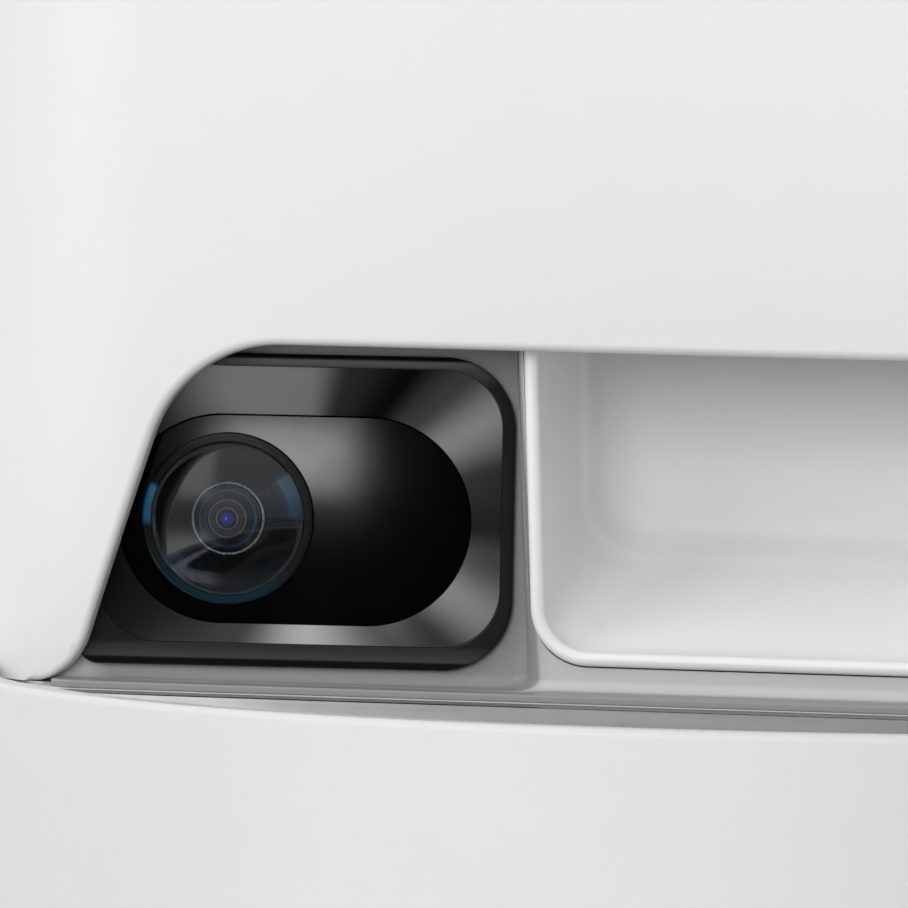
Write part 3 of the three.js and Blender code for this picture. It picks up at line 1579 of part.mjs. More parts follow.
function coverScrew([x, z]) {
  const profile = [
    [0, -screwLength],
    [screwRadius, -screwLength],
    [screwRadius, -screwHeadHeight],
    [screwHeadRadius, -screwHeadHeight],
    [screwHeadRadius, 0],
    [0, 0],
  ];
  const slotHalf = screwHeadRadius + overrun;
  const head = turned(profile, smallSteps / 2);
  const across = box(-slotHalf, slotHalf, -screwSlotWidth / 2, screwSlotWidth / 2, -screwSlotDepth, overrun);
  return cut(head, across).rotateX(-quarter).translate(x, coverOutside, z);
}

function powerInlet() {
  const half = inletWidth / 2;
  const back = coverInside - fit;
  const inletLength = back - fit - boardFace - boardThickness;
  const housing = box(
    inletX - half, inletX + half, back - inletLength, back, serviceMiddle - half, serviceMiddle + half,
  );
  const pinStart = back - inletLength + inletPin;
  const socket = rodAlong(inletSocket, pinStart + inletPin, back + overrun, inletX, serviceMiddle);
  const pin = rodAlong(inletPin, pinStart, back - inletPin, inletX, serviceMiddle, smallSteps / 2);
  return join(cut(housing, socket), pin);
}

function resetButton() {
  const outer = coverOutside - resetRecess;
  const inner = outer - resetLength;
  const stem = rodAlong(resetRadius, inner, outer, resetX, serviceMiddle);
  const flange = rodAlong(resetRadius + resetFlange, inner, coverInside - fit, resetX, serviceMiddle);
  return join(stem, flange);
}

function mainBoard() {
  const half = mainBoardHeight / 2;
  const plate = box(
    -mainBoardHalf, mainBoardHalf, boardFace, boardFace + boardThickness,
    serviceMiddle - half, serviceMiddle + half,
  );
  const chipHalf = mainBoardHeight * chipHalfShare;
  const chips = [-1, 1].map((side) => box(
    (side * mainBoardHalf) / 2 - chipHalf, (side * mainBoardHalf) / 2 + chipHalf,
    boardFace - chipHeight, boardFace + boardThickness / 2,
    serviceMiddle - chipHalf, serviceMiddle + chipHalf,
  ));
  return join(plate, ...chips);
}

// Assembly
add("base_housing", baseHousing(), "trayWhite");
add("base_plate", basePlate(), "innerWhite");
footPlaces.forEach(([x, y], i) => add(`foot_${i + 1}`, foot().translate(x, y, 0), "rubber"));
add("steel_bowl", steelBowl(), "steel");
add("battery_holder", batteryHolder(), "innerWhite");
add("battery_contacts", batteryContacts(), "steel");
add("battery_door", batteryDoor(), "trayWhite");
add("body_shell", bodyShell(), "shellWhite");
add("recess_liner", recessLiner(), "shellWhite");
add("chute", chute(), "shellWhite");

add("camera_bezel", cameraBezel(), "bezelBlack", camera);
add("camera_bevel_panel", bevelPanel(), "panelGrey", camera);
add("camera_window", cameraWindow(), "windowBlack", camera);
add("dome_ring", domeRing(), "bezelBlack", camera);
add("camera_dome", cameraDome(), "glass", camera);
add("lens_barrel", lensBarrel(), "windowBlack", camera);
add("lens_retaining_ring", lensRing(), "steel", camera);
add("front_lens", frontLens(), "glass", camera);
add("camera_board", cameraBoard(), "board", camera);
add("infrared_lamp_1", infraredLamp(-1), "glass", camera);
add("infrared_lamp_2", infraredLamp(1), "glass", camera);
add("microphone", microphone(), "steel", camera);
add("speaker", speaker(), "rubber", speakerTurn);

add("inner_frame", innerFrame(), "innerWhite");
add("rotor_housing", rotorHousing(), "innerWhite");
add("rotor_bushing", rotorBushing(), "brass");
add("rotor_cover", rotorCover(), "innerWhite");
add("rotor", rotor(), "rotorPlastic");
add("rotor_shaft", rotorShaft(), "steel");
add("rotor_gear", rotorGear(), "gearPlastic");
add("motor_pinion", motorPinion(), "brass");
add("motor", motor(), "steel");

add("food_tank", tank(), "innerWhite");
add("hinge_pin_1", hingePin(-hingeFromCentre), "steel");
add("hinge_pin_2", hingePin(hingeFromCentre), "steel");
add("top_frame", topFrame(), "shellWhite");
add("feed_button", feedButton(), "shellWhite");
add("status_light", statusLight(), "light");

add("lid_cover", lidCover(), "shellWhite");
add("lid_window", lidWindow(), "smoked");
add("lid_liner", lidLiner(), "innerWhite");
add("lid_seal", lidSeal(), "softGrey");
add("lid_latch", lidLatch(), "shellWhite");
add("desiccant_box", desiccantBox(), "innerWhite");
add("desiccant_cover", desiccantCover(), "innerWhite");

add("service_cover", serviceCover(), "shellWhite");
screwPlaces().forEach((place, i) => add(`cover_screw_${i + 1}`, coverScrew(place), "steel"));
add("power_inlet", powerInlet(), "rubber");
add("reset_button", resetButton(), "rubber");
add("main_board", mainBoard(), "board");

export default feeder;
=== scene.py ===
import json
import math

import bmesh
import bpy
from mathutils import Matrix, Vector


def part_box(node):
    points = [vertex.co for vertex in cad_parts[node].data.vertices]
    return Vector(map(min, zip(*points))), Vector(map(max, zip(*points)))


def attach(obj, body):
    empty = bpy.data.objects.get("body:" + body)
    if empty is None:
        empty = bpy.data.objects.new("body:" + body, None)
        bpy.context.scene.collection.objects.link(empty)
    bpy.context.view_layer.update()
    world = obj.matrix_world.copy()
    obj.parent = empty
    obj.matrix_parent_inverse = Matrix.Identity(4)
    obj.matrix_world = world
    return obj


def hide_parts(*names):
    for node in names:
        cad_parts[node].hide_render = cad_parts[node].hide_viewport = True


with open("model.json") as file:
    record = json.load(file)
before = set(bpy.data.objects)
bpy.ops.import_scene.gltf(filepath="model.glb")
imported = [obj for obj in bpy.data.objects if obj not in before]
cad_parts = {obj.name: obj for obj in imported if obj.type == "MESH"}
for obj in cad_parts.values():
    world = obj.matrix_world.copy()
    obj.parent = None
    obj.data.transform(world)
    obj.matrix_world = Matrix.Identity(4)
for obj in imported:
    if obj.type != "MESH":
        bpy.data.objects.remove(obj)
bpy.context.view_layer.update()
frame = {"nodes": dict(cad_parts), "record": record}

# Lengths are in millimetres until a mesh is made; the camera and the lamps are placed in metres
MM = 0.001
QUARTER = math.pi / 2
ARC_STEPS = 14
FINE_ARC_STEPS = 28
SLOT_ARC_STEPS = 8
CURVE_STEPS = 120
TURN_STEPS = 72
FINE_TURN_STEPS = 96
BORE_STEPS = 40
WELD = 0.002
HAIR = 0.01
SNUG = 0.03
NEAR = 0.1
FIT = 0.3
BEYOND = 2


def span(node):
    """Lowest and highest corner of a CAD node."""
    low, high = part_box(node)
    return low / MM, high / MM


# Places taken from the CAD model
shell_low, shell_high = span("body_shell")
base_low, base_high = span("base_housing")
liner_low, liner_high = span("recess_liner")
lid_low, lid_high = span("lid_cover")
latch_low, latch_high = span("lid_latch")
tank_low, tank_high = span("food_tank")
bowl_low, bowl_high = span("steel_bowl")
bay_low, bay_high = span("battery_door")
rotor_low, rotor_high = span("rotor_cover")

# Body
BODY_HALF = shell_high.x
BODY_FRONT = shell_low.y
BODY_BACK = shell_high.y
BODY_MIDDLE = (BODY_BACK + BODY_FRONT) / 2
BODY_CORNER = 30
SHELL_BOTTOM = shell_low.z
SHELL_TOP = shell_high.z
SHELL_WALL = 2.8
SHELL_EDGE = 0.4
OUTER_SKIN = 0.4
DECK_GAP = 0.4
DECK = SHELL_BOTTOM - DECK_GAP
TRAY_CENTRE = BODY_FRONT + BODY_CORNER
TRAY_HALF_DEPTH = TRAY_CENTRE - base_low.y

# The bell-shaped cut-out
RECESS_HEIGHT = 50.5
RECESS_BOTTOM_HALF = BODY_HALF - 19.8
RECESS_TOP_HALF = BODY_HALF - 36.2
RECESS_TOP_ROUND = 20
RECESS_FLARE = 10.5
RECESS_TOP = SHELL_BOTTOM + RECESS_HEIGHT
RECESS_EDGE = 1.3

# Lower body, bowl and feet
HOUSING_WALL = 2.6
HOUSING_EDGE = 2.2
HOUSING_SOFT_EDGE = 0.5
TRAY_LIP = 4.4
LIP_ROUND = 1.2
DECK_THICKNESS = 2.5
BOWL_SEAT = bowl_high.z - 1.3
BOWL_FLANGE = 7
BOWL_SHEET = 1
BOWL_EDGE = 0.4
BOWL_SLOPE = 9
BOWL_FLOOR_ROUND = 14
BOWL_CORNER_CUT = 5
BOWL_PLAY = 0.6
LEDGE_LINE = BODY_FRONT - 0.8
FOOT_GROOVE = 0.4

# Liner
LINER_WALL = 2.4
LINER_GAP = 0.4
LINER_STEPS = 16
LINER_FRONT = BODY_FRONT + 5.8
LINER_CORNER = BODY_CORNER - SHELL_WALL - LINER_GAP
LINER_CORNER_TURN = math.radians(50)
PEDESTAL_MARGIN = 1.9
PEDESTAL_ROUND = 3
PEDESTAL_FOOT_ROUND = 6
PEDESTAL_COVE = 0.4
PEDESTAL_FOOT_COVE = 3
WING_TURN = math.radians(8)
WING_SETBACK = 10.8
COVE = 2
SILL_THICKNESS = 0.8
SILL_CORNER = 4
SILL_EDGE = 0.35
SILL_FRONT = LEDGE_LINE + SNUG
SILL_TOP = liner_low.z + SILL_THICKNESS
SILL_HALF = RECESS_BOTTOM_HALF + RECESS_FLARE * 0.3
SILL_REACH = RECESS_BOTTOM_HALF + RECESS_FLARE
SILL_SETBACK = 0.6

# Seam beside the chute
RIM_LAP = 0.2
SEAM_STOP = 11
SEAM_NEAR = 0.6
SEAM_FAR = 1.2
SEAM_WIDTH = 0.3
SEAM_DEPTH = 1.9

# Chute
CHUTE_TOP_HALF = 38.9
CHUTE_TAPER = math.radians(2.7)
CHUTE_CORNER = 8.7
CHUTE_RIM = 2.1
CHUTE_PROUD = 1
CHUTE_SINK = 1.4
CHUTE_WALL = 2
CHUTE_DEPTH = 30.7
CHUTE_BOTTOM = span("chute")[0].z
CHUTE_BACK_ROUND = 4
BEAD_FLAT = 0.05
SLIDE_RISE = 14.5
SLIDE_EASE_SHARE = 0.18
SLIDE_STEPS = 26
CAVITY_CORNER_SHARE = 1 / 3
CAVITY_CORNER_GROWTH = 3

# Camera, in its own frame: Z faces the viewer and zero is the wing's face
BEZEL_X = 73.1
BEZEL_Z = DECK + 26.7
BEZEL_WIDTH = 63
BEZEL_HEIGHT = 45.4
BEZEL_CORNER = 10.5
BEZEL_RIM = 1.9
BEZEL_LOW_RIM = 2.8
BEZEL_CHIN = 0.65
BEZEL_EAR = 1
BEZEL_EAR_CORNER = 3
BEZEL_PROUD = 1.5
BEZEL_INNER_EDGE = 0.3
SLEEVE_WALL = 0.8
SLEEVE_DEPTH = 10
SLEEVE_X = BEZEL_WIDTH / 2 - BEZEL_RIM + SLEEVE_WALL
SLEEVE_Y = BEZEL_HEIGHT / 2 - BEZEL_RIM + SLEEVE_WALL
SLEEVE_CORNER = BEZEL_CORNER - BEZEL_RIM + SLEEVE_WALL
DISH_FLOOR = BEZEL_PROUD - 1.6
PANEL_THICKNESS = 1.6
PANEL_LIP = 0.15
PANEL_STEP = 1.2
PANEL_STEPS = 8
WINDOW_WIDTH = 52.2
WINDOW_HEIGHT = 30.8
WINDOW_THICKNESS = 1.4
WINDOW_EDGE = 0.25
WINDOW_X = -0.95
WINDOW_Y = -1.7
WINDOW_TOP = DISH_FLOOR - FIT
WINDOW_BOTTOM = WINDOW_TOP - WINDOW_THICKNESS
DOME_X = WINDOW_X - 9.8
DOME_RADIUS = 11
DOME_HEIGHT = 4.6
DOME_WALL = 1.2
DOME_GLASS = 0.5
DOME_STEPS = 20
RING_RADIUS = 12.65
RING_HEIGHT = 0.9
RING_INNER_EDGE = 0.15
RING_LAP = 0.25
LENS_RADIUS = 4.7
LENS_CROWN = 1.5
LENS_STEPS = 40
LENS_RING_RADIUS = 5.3
LENS_RING_HEIGHT = 0.6
LENS_RING_EDGE = 0.12
GROOVE_PLACE_SHARES = (0.31, 0.64)
GROOVE_WIDTH_SHARE = 0.05
GROOVE_DEPTH = 0.04
BARREL_RADIUS = 6.6
BARREL_BOTTOM = 1.2 - SLEEVE_DEPTH + FIT
BARREL_TOP = WINDOW_BOTTOM + DOME_HEIGHT - DOME_WALL - LENS_CROWN - LENS_RING_HEIGHT
HOOD_RADIUS = DOME_RADIUS - 0.2
HOOD_EDGE = 0.5
HOOD_STEPS = 5
HOOD_STEP_RISE = 0.06
HOOD_STEP_REACH = 0.08

# Slots of the speaker and of the service cover
SLOT_WIDTH = 1.8
SLOT_LENGTH = 20
SLOT_PLACES = (-10, -5, 0, 5, 10)

# Tank, top frame and lid
TANK_FLANGE = 6
TANK_FLANGE_THICKNESS = 2.5
TANK_HALF = tank_high.x - TANK_FLANGE
TANK_FRONT = BODY_FRONT + 20
TANK_BACK = BODY_BACK - 22
TANK_MIDDLE = (TANK_FRONT + TANK_BACK) / 2
TANK_HALF_DEPTH = (TANK_BACK - TANK_FRONT) / 2
TANK_CORNER = 20
TANK_WALL = 2.2
TANK_EDGE = 0.4
FUNNEL_HEIGHT = 44
FUNNEL_MOUTH = 50
NECK_DROP = 22
NECK_SHARE = 0.42
TOP_BOTTOM = SHELL_TOP + FIT
TOP_TOP = span("top_frame")[1].z
TOP_PLATE = 3
TOP_WALL = 5.6
TOP_ROUND = 4
TOP_SKIRT = 7
TOP_EDGE = 0.35
OPENING_GAP = 2
BUTTON_HALF = 13
BUTTON_WIDTH = 4.5
BUTTON_PROUD = 1
BUTTON_FLANGE = 1.6
BUTTON_EDGE = 0.5
BUTTON_DISH_STEPS = 24
BUTTON_Y = (BODY_FRONT + TANK_FRONT - OPENING_GAP) / 2
LIGHT_X = 24
LIGHT_RADIUS = 1.8
LIGHT_STEPS = 32
LID_OVERHANG = 2
LID_WALL = 2.4
LID_ROUND = 2.6
LID_EDGE = 0.3
LID_BACK = TANK_BACK + TANK_FLANGE + LID_OVERHANG
LID_WINDOW_X = TANK_HALF - 30
LID_WINDOW_Y = TANK_HALF_DEPTH - 43
LID_WINDOW_CORNER = 16
LID_WINDOW_LEDGE = 3
LID_WINDOW_THICKNESS = 1.4
KNUCKLE = 3
KNUCKLE_HALF = 3.5
EAR_HALF = 3
HINGE_X = TANK_HALF - TANK_CORNER - 12
HINGE_Y = LID_BACK + 5
HINGE_Z = lid_low.z + KNUCKLE - FIT
LATCH_HALF = 12
LATCH_CORNER = 1.4
LATCH_EDGE = 0.5

# Service cover
SERVICE_HALF = 60
SERVICE_BOTTOM = DECK + 8.5
SERVICE_HEIGHT = 40
SERVICE_MIDDLE = SERVICE_BOTTOM + SERVICE_HEIGHT / 2
SERVICE_CORNER = 6
SERVICE_LEDGE = 6
SERVICE_LIP = 1.5
SERVICE_THICKNESS = 2.4
SERVICE_EDGE = 0.35
SCREW_INSET = 6
SCREW_RADIUS = 1.8
SCREW_HEAD = 3
SCREW_HEAD_HEIGHT = 1.4
INLET_X = 36
INLET_SOCKET = 3.4
RESET_X = 16
RESET_RADIUS = 2.4
POST_X = 43.4
POST_RISE = 11.4
POST_RADIUS = 2.6
POST_ROOT = 0.6


def wing_frame(side):
    """A frame on the face of the liner's left or right wing, with Z towards the viewer."""
    place = Matrix.Translation((side * BEZEL_X, BODY_FRONT + WING_SETBACK, BEZEL_Z))
    return place @ Matrix.Rotation(-side * WING_TURN, 4, "Z") @ Matrix.Rotation(QUARTER, 4, "X")


CAMERA = wing_frame(-1)
SPEAKER = wing_frame(1)
DOME = CAMERA @ Matrix.Translation((DOME_X, WINDOW_Y, 0))


# Outlines: lists of points in a plane
def sweep(x, y, radius, start, stop, steps=ARC_STEPS):
    """Points along an arc; a pair of radii gives an ellipse."""
    across, up = radius if isinstance(radius, tuple) else (radius, radius)
    angles = [start + (stop - start) * i / steps for i in range(steps + 1)]
    return [(x + across * math.cos(a), y + up * math.sin(a)) for a in angles]


def mirrored(path):
    return path + [(-x, y) for x, y in reversed(path)]


def between(first, second, share):
    return tuple(a + (b - a) * share for a, b in zip(first, second))


def cornered(left, right, front, back, near, far, steps=ARC_STEPS):
    """A box with one corner radius at its left and one at its right."""
    points = sweep(right - far, back - far, far, 0, QUARTER, steps)
    points += sweep(left + near, back - near, near, QUARTER, 2 * QUARTER, steps)
    points += sweep(left + near, front + near, near, 2 * QUARTER, 3 * QUARTER, steps)
    return points + sweep(right - far, front + far, far, 3 * QUARTER, 4 * QUARTER, steps)


def rounded_box(half_x, half_y, corner, x=0, y=0, steps=ARC_STEPS):
    return cornered(x - half_x, x + half_x, y - half_y, y + half_y, corner, corner, steps)


def obround(half_length, half_height, x=0, y=0, steps=FINE_ARC_STEPS):
    reach = half_length - half_height
    points = sweep(x + reach, y, half_height, -QUARTER, QUARTER, steps)
    return points + sweep(x - reach, y, half_height, QUARTER, 3 * QUARTER, steps)


def body_outline(inset):
    half_depth = (BODY_BACK - BODY_FRONT) / 2
    return rounded_box(BODY_HALF - inset, half_depth - inset, BODY_CORNER - inset, 0, BODY_MIDDLE)


def tank_outline(grow):
    return rounded_box(TANK_HALF + grow, TANK_HALF_DEPTH + grow, TANK_CORNER + grow, 0, TANK_MIDDLE)


def lower_outline(inset):
    half = BODY_HALF - inset
    corner = BODY_CORNER - inset
    corner_y = BODY_BACK - inset - corner
    points = sweep(half - corner, corner_y, corner, 0, QUARTER)
    points += sweep(corner - half, corner_y, corner, QUARTER, 2 * QUARTER)
    curve = (half, TRAY_HALF_DEPTH - inset)
    return points + sweep(0, TRAY_CENTRE, curve, 2 * QUARTER, 4 * QUARTER, CURVE_STEPS)


def bend(start, pull, end):
    """Points along a quadratic curve, without its start."""
    points = []
    for i in range(1, ARC_STEPS + 1):
        share = i / ARC_STEPS
        points.append(between(between(start, pull, share), between(pull, end, share), share))
    return points


def bowl_outline(inset, back_line):
    """The tray's curve in front and a straight line at the back."""
    half_x = BODY_HALF - inset
    half_y = TRAY_HALF_DEPTH - inset
    meet = math.asin((back_line - TRAY_CENTRE) / half_y)
    leave = meet - BOWL_CORNER_CUT / half_y
    corner_x = half_x * math.cos(meet)
    near = (half_x * math.cos(leave), TRAY_CENTRE + half_y * math.sin(leave))
    points = sweep(0, TRAY_CENTRE, (half_x, half_y), 2 * QUARTER - leave, 4 * QUARTER + leave, CURVE_STEPS)
    points += bend(near, (corner_x, back_line), (corner_x - BOWL_CORNER_CUT, back_line))
    points.append((BOWL_CORNER_CUT - corner_x, back_line))
    return points + bend(points[-1], (-corner_x, back_line), (-near[0], near[1]))[:-1]


def quarter_round(radius, steps):
    """Pairs along a quarter circle: one value grows from zero to the radius as the other falls to zero."""
    angles = [QUARTER * i / steps for i in range(steps + 1)]
    return [(radius * (1 - math.cos(a)), radius * (1 - math.sin(a))) for a in angles]


def level(outline, height):
    return [(x, y, height) for x, y in outline]


def rounded_rings(outline, radius, top, steps):
    """Rings of an outline that draws in round its top edge."""
    return [level(outline(inset), top - drop) for inset, drop in quarter_round(radius, steps)]


# Meshes
def make(name, body, placement=Matrix()):
    """An object in metres from a mesh in millimetres."""
    bmesh.ops.recalc_face_normals(body, faces=body.faces)
    body.transform(Matrix.Scale(MM, 4) @ placement)
    mesh = bpy.data.meshes.new(name)
    body.to_mesh(mesh)
    body.free()
    piece = bpy.data.objects.new(name, mesh)
    bpy.context.scene.collection.objects.link(piece)
    return piece


def loft(rings, closed=False, placement=Matrix()):
    """A skin through rings of equal count, capped unless it closes on itself."""
    body = bmesh.new()
    rows = [[body.verts.new(Vector(point)) for point in ring] for ring in rings]
    following = rows[1:] + rows[:1] if closed else rows[1:]
    for low, high in zip(rows, following):
        for i in range(len(low)):
            j = (i + 1) % len(low)
            body.faces.new((low[i], low[j], high[j], high[i]))
    if not closed:
        body.faces.new(rows[0][::-1])
        body.faces.new(rows[-1])
    return make("tool", body, placement)


def slab(outline, low, high, placement=Matrix()):
    return loft([level(outline, low), level(outline, high)], placement=placement)


def upright(outline, front, back):
    """An outline in X and Z, stretched from front to back."""
    return loft([[(x, y, z) for x, z in outline] for y in (front, back)])


def sideways(outline, left, right):
    """An outline in Y and Z, stretched from left to right."""
    return loft([[(x, y, z) for y, z in outline] for x in (left, right)])


def block(x0, x1, y0, y1, z0, z1):
    return slab([(x0, y0), (x1, y0), (x1, y1), (x0, y1)], z0, z1)


def turned(profile, placement=Matrix(), steps=TURN_STEPS):
    """A profile of (radius, height) pairs turned about Z."""
    body = bmesh.new()
    closed = profile[0] == profile[-1]
    rows = []
    for radius, height in profile[:-1] if closed else profile:
        count = steps if radius else 1
        angles = [4 * QUARTER * i / count for i in range(count)]
        rows.append([
            body.verts.new((radius * math.cos(a), radius * math.sin(a), height)) for a in angles
        ])
    following = rows[1:] + rows[:1] if closed else rows[1:]
    for low, high in zip(rows, following):
        for i in range(steps):
            j = (i + 1) % steps
            corners = [low[i % len(low)], low[j % len(low)], high[j % len(high)], high[i % len(high)]]
            corners = list(dict.fromkeys(corners))
            if len(corners) > 2:
                body.faces.new(corners)
    return make("tool", body, placement)


def rod(radius, low, high, placement=Matrix(), steps=TURN_STEPS):
    return turned([(0, low), (radius, low), (radius, high), (0, high)], placement, steps)


def settle(piece):
    """Modifiers become part of the mesh."""
    graph = bpy.context.evaluated_depsgraph_get()
    mesh = bpy.data.meshes.new_from_object(piece.evaluated_get(graph))
    piece.modifiers.clear()
    piece.data = mesh


def combine(piece, tools, operation):
    for tool in tools:
        step = piece.modifiers.new("combine", "BOOLEAN")
        step.operation = operation
        step.solver = "MANIFOLD"
        step.object = tool
    settle(piece)
    for tool in tools:
        bpy.data.objects.remove(tool, do_unlink=True)
    return piece


def cut(piece, *tools):
    return combine(piece, tools, "DIFFERENCE")


def join(piece, *others):
    return combine(piece, others, "UNION")


def common(piece, other):
    return combine(piece, [other], "INTERSECT")


def soften(piece, radius, wanted=None, segments=3, angle=32):
    """Round the sharp edges whose middle, in millimetres, is wanted."""
    body = bmesh.new()
    body.from_mesh(piece.data)
    bmesh.ops.remove_doubles(body, verts=body.verts, dist=WELD * MM)
    bmesh.ops.dissolve_limit(
        body, angle_limit=math.radians(0.2), verts=body.verts, edges=body.edges, delimit=set(),
    )
    sharp = []
    for edge in body.edges:
        if len(edge.link_faces) != 2 or edge.calc_face_angle(0) < math.radians(angle):
            continue
        middle = (edge.verts[0].co + edge.verts[1].co) / 2 / MM
        if wanted is None or wanted(middle):
            sharp.append(edge)
    bmesh.ops.bevel(
        body, geom=sharp, offset=radius * MM, offset_type="OFFSET", segments=segments,
        profile=0.5, affect="EDGES", clamp_overlap=False, miter_outer="SHARP",
    )
    bmesh.ops.recalc_face_normals(body, faces=body.faces)
    body.to_mesh(piece.data)
    body.free()


def shade(piece, angle=38):
    mesh = piece.data
    mesh.polygons.foreach_set("use_smooth", [True] * len(mesh.polygons))
    mesh.set_sharp_from_angle(angle=math.radians(angle))
    weigh = piece.modifiers.new("normals", "WEIGHTED_NORMAL")
    weigh.keep_sharp = True
    weigh.weight = 100
    return piece


# Shader nodes
def feed(tree, socket, value):
    """Link another socket's value, or set a constant."""
    if isinstance(value, bpy.types.NodeSocket):
        tree.links.new(value, socket)
    else:
        socket.default_value = value


def object_place(tree):
    return tree.nodes.new("ShaderNodeTexCoord").outputs["Object"]


def noise(tree, source, scale, detail=2.0, roughness=0.5):
    texture = tree.nodes.new("ShaderNodeTexNoise")
    for name, value in (("Vector", source), ("Scale", scale), ("Detail", detail), ("Roughness", roughness)):
        feed(tree, texture.inputs[name], value)
    return texture.outputs["Fac"]


def spread(tree, source, low, high, start=0.3, stop=0.7, kind="LINEAR"):
    """Map a range, by default a noise's middle, onto low to high."""
    node = tree.nodes.new("ShaderNodeMapRange")
    node.interpolation_type = kind
    names = ("Value", "From Min", "From Max", "To Min", "To Max")
    for name, value in zip(names, (source, start, stop, low, high)):
        feed(tree, node.inputs[name], value)
    return node.outputs["Result"]


def mixed(tree, factor, first, second, kind="MIX"):
    node = tree.nodes.new("ShaderNodeMix")
    node.data_type = "RGBA"
    node.blend_type = kind
    for name, value in (("Factor", factor), ("A", first), ("B", second)):
        feed(tree, node.inputs[name], value)
    return node.outputs["Result"]


def math_node(tree, operation, first, second=0):
    node = tree.nodes.new("ShaderNodeMath")
    node.operation = operation
    feed(tree, node.inputs[0], first)
    feed(tree, node.inputs[1], second)
    return node.outputs[0]


def vector_node(tree, operation, first, second=(0, 0, 0)):
    node = tree.nodes.new("ShaderNodeVectorMath")
    node.operation = operation
    feed(tree, node.inputs[0], first)
    feed(tree, node.inputs[1], second)
    return node.outputs["Vector" if operation == "SUBTRACT" else "Value"]


def choose(tree, factor, first, second):
    """The second shader where the factor is one, else the first."""
    pick = tree.nodes.new("ShaderNodeMixShader")
    feed(tree, pick.inputs["Fac"], factor)
    feed(tree, pick.inputs[1], first.outputs[0])
    feed(tree, pick.inputs[2], second.outputs[0])
    return pick


# Finishes
finishes = {}


def finish(
    name, color, roughness, metallic=0.0, grain=2600, relief=0.012, mottle=0.012,
    swing=0.05, stretch=None, cloud=22, speck=None, **constants,
):
    """A material with drifting colour and roughness and a fine moulded or brushed grain."""
    material = bpy.data.materials.new(name)
    material.use_nodes = True
    tree = material.node_tree
    shader = tree.nodes["Principled BSDF"]
    shader.inputs["Metallic"].default_value = metallic
    for socket, value in constants.items():
        shader.inputs[socket.replace("_", " ")].default_value = value
    place = object_place(tree)
    along = place
    if stretch:
        mapping = tree.nodes.new("ShaderNodeMapping")
        mapping.inputs["Scale"].default_value = stretch
        tree.links.new(place, mapping.inputs["Vector"])
        along = mapping.outputs["Vector"]
    darker = (*[c * (1 - mottle) for c in color], 1)
    lighter = (*[min(c * (1 + mottle), 1) for c in color], 1)
    tint = mixed(tree, spread(tree, noise(tree, place, cloud, 3), 0, 1), darker, lighter)
    if speck:
        flecks = spread(tree, noise(tree, along, grain, 1), 0, 1, 0.58, 0.72)
        tint = mixed(tree, flecks, tint, (*speck, 1))
    tree.links.new(tint, shader.inputs["Base Color"])
    fine = noise(tree, along, grain, 2)
    patch = noise(tree, place, cloud * 6, 4, 0.6)
    tree.links.new(math_node(
        tree, "ADD", spread(tree, fine, -swing / 2, swing / 2),
        spread(tree, patch, roughness - swing / 2, roughness + swing / 2),
    ), shader.inputs["Roughness"])
    bump = tree.nodes.new("ShaderNodeBump")
    bump.inputs["Strength"].default_value = 1
    bump.inputs["Distance"].default_value = relief * MM
    tree.links.new(fine, bump.inputs["Height"])
    tree.links.new(bump.outputs["Normal"], shader.inputs["Normal"])
    finishes[name] = material


def tinted(tree, amount, stops):
    """Multiply a material's colour by stops of (place, colour or grey) along an amount from 0 to 1."""
    ramp = tree.nodes.new("ShaderNodeValToRGB")
    ramp.color_ramp.interpolation = "EASE"
    marks = ramp.color_ramp.elements
    while len(marks) < len(stops):
        marks.new(0.5)
    for mark, (place, color) in zip(marks, stops):
        mark.position = place
        mark.color = (*color, 1) if isinstance(color, tuple) else (color, color, color, 1)
    tree.links.new(amount, ramp.inputs["Fac"])
    base = tree.nodes["Principled BSDF"].inputs["Base Color"]
    drift = base.links[0].from_socket
    tree.links.new(mixed(tree, 1, ramp.outputs["Color"], drift, "MULTIPLY"), base)


def around(tree, frame_matrix):
    """Offsets along a frame's two flat axes, from its origin."""
    offset = vector_node(tree, "SUBTRACT", object_place(tree), frame_matrix.translation * MM)
    return [vector_node(tree, "DOT_PRODUCT", offset, frame_matrix.col[k].xyz) for k in (0, 1)]


def banded(name, frame_matrix, stops):
    """Painted reflections: soft bands that fan out round a frame's axis."""
    tree = finishes[name].node_tree
    x, y = around(tree, frame_matrix)
    turn = math_node(tree, "ARCTAN2", y, x)
    tinted(tree, math_node(tree, "ADD", math_node(tree, "DIVIDE", turn, 4 * QUARTER), 0.5), stops)


def ringed(name, frame_matrix, radius, stops):
    """Painted light and shade in rings round a frame's axis, out to a radius."""
    tree = finishes[name].node_tree
    x, y = around(tree, frame_matrix)
    squares = math_node(tree, "ADD", math_node(tree, "MULTIPLY", x, x), math_node(tree, "MULTIPLY", y, y))
    tinted(tree, math_node(tree, "DIVIDE", math_node(tree, "SQRT", squares), radius * MM), stops)


def graded(name, frame_matrix, axis, length, stops):
    """Painted light and shade in bands along one of a frame's flat axes, to both sides of its origin."""
    tree = finishes[name].node_tree
    away = math_node(tree, "ABSOLUTE", around(tree, frame_matrix)[axis])
    tinted(tree, math_node(tree, "DIVIDE", away, length * MM), stops)


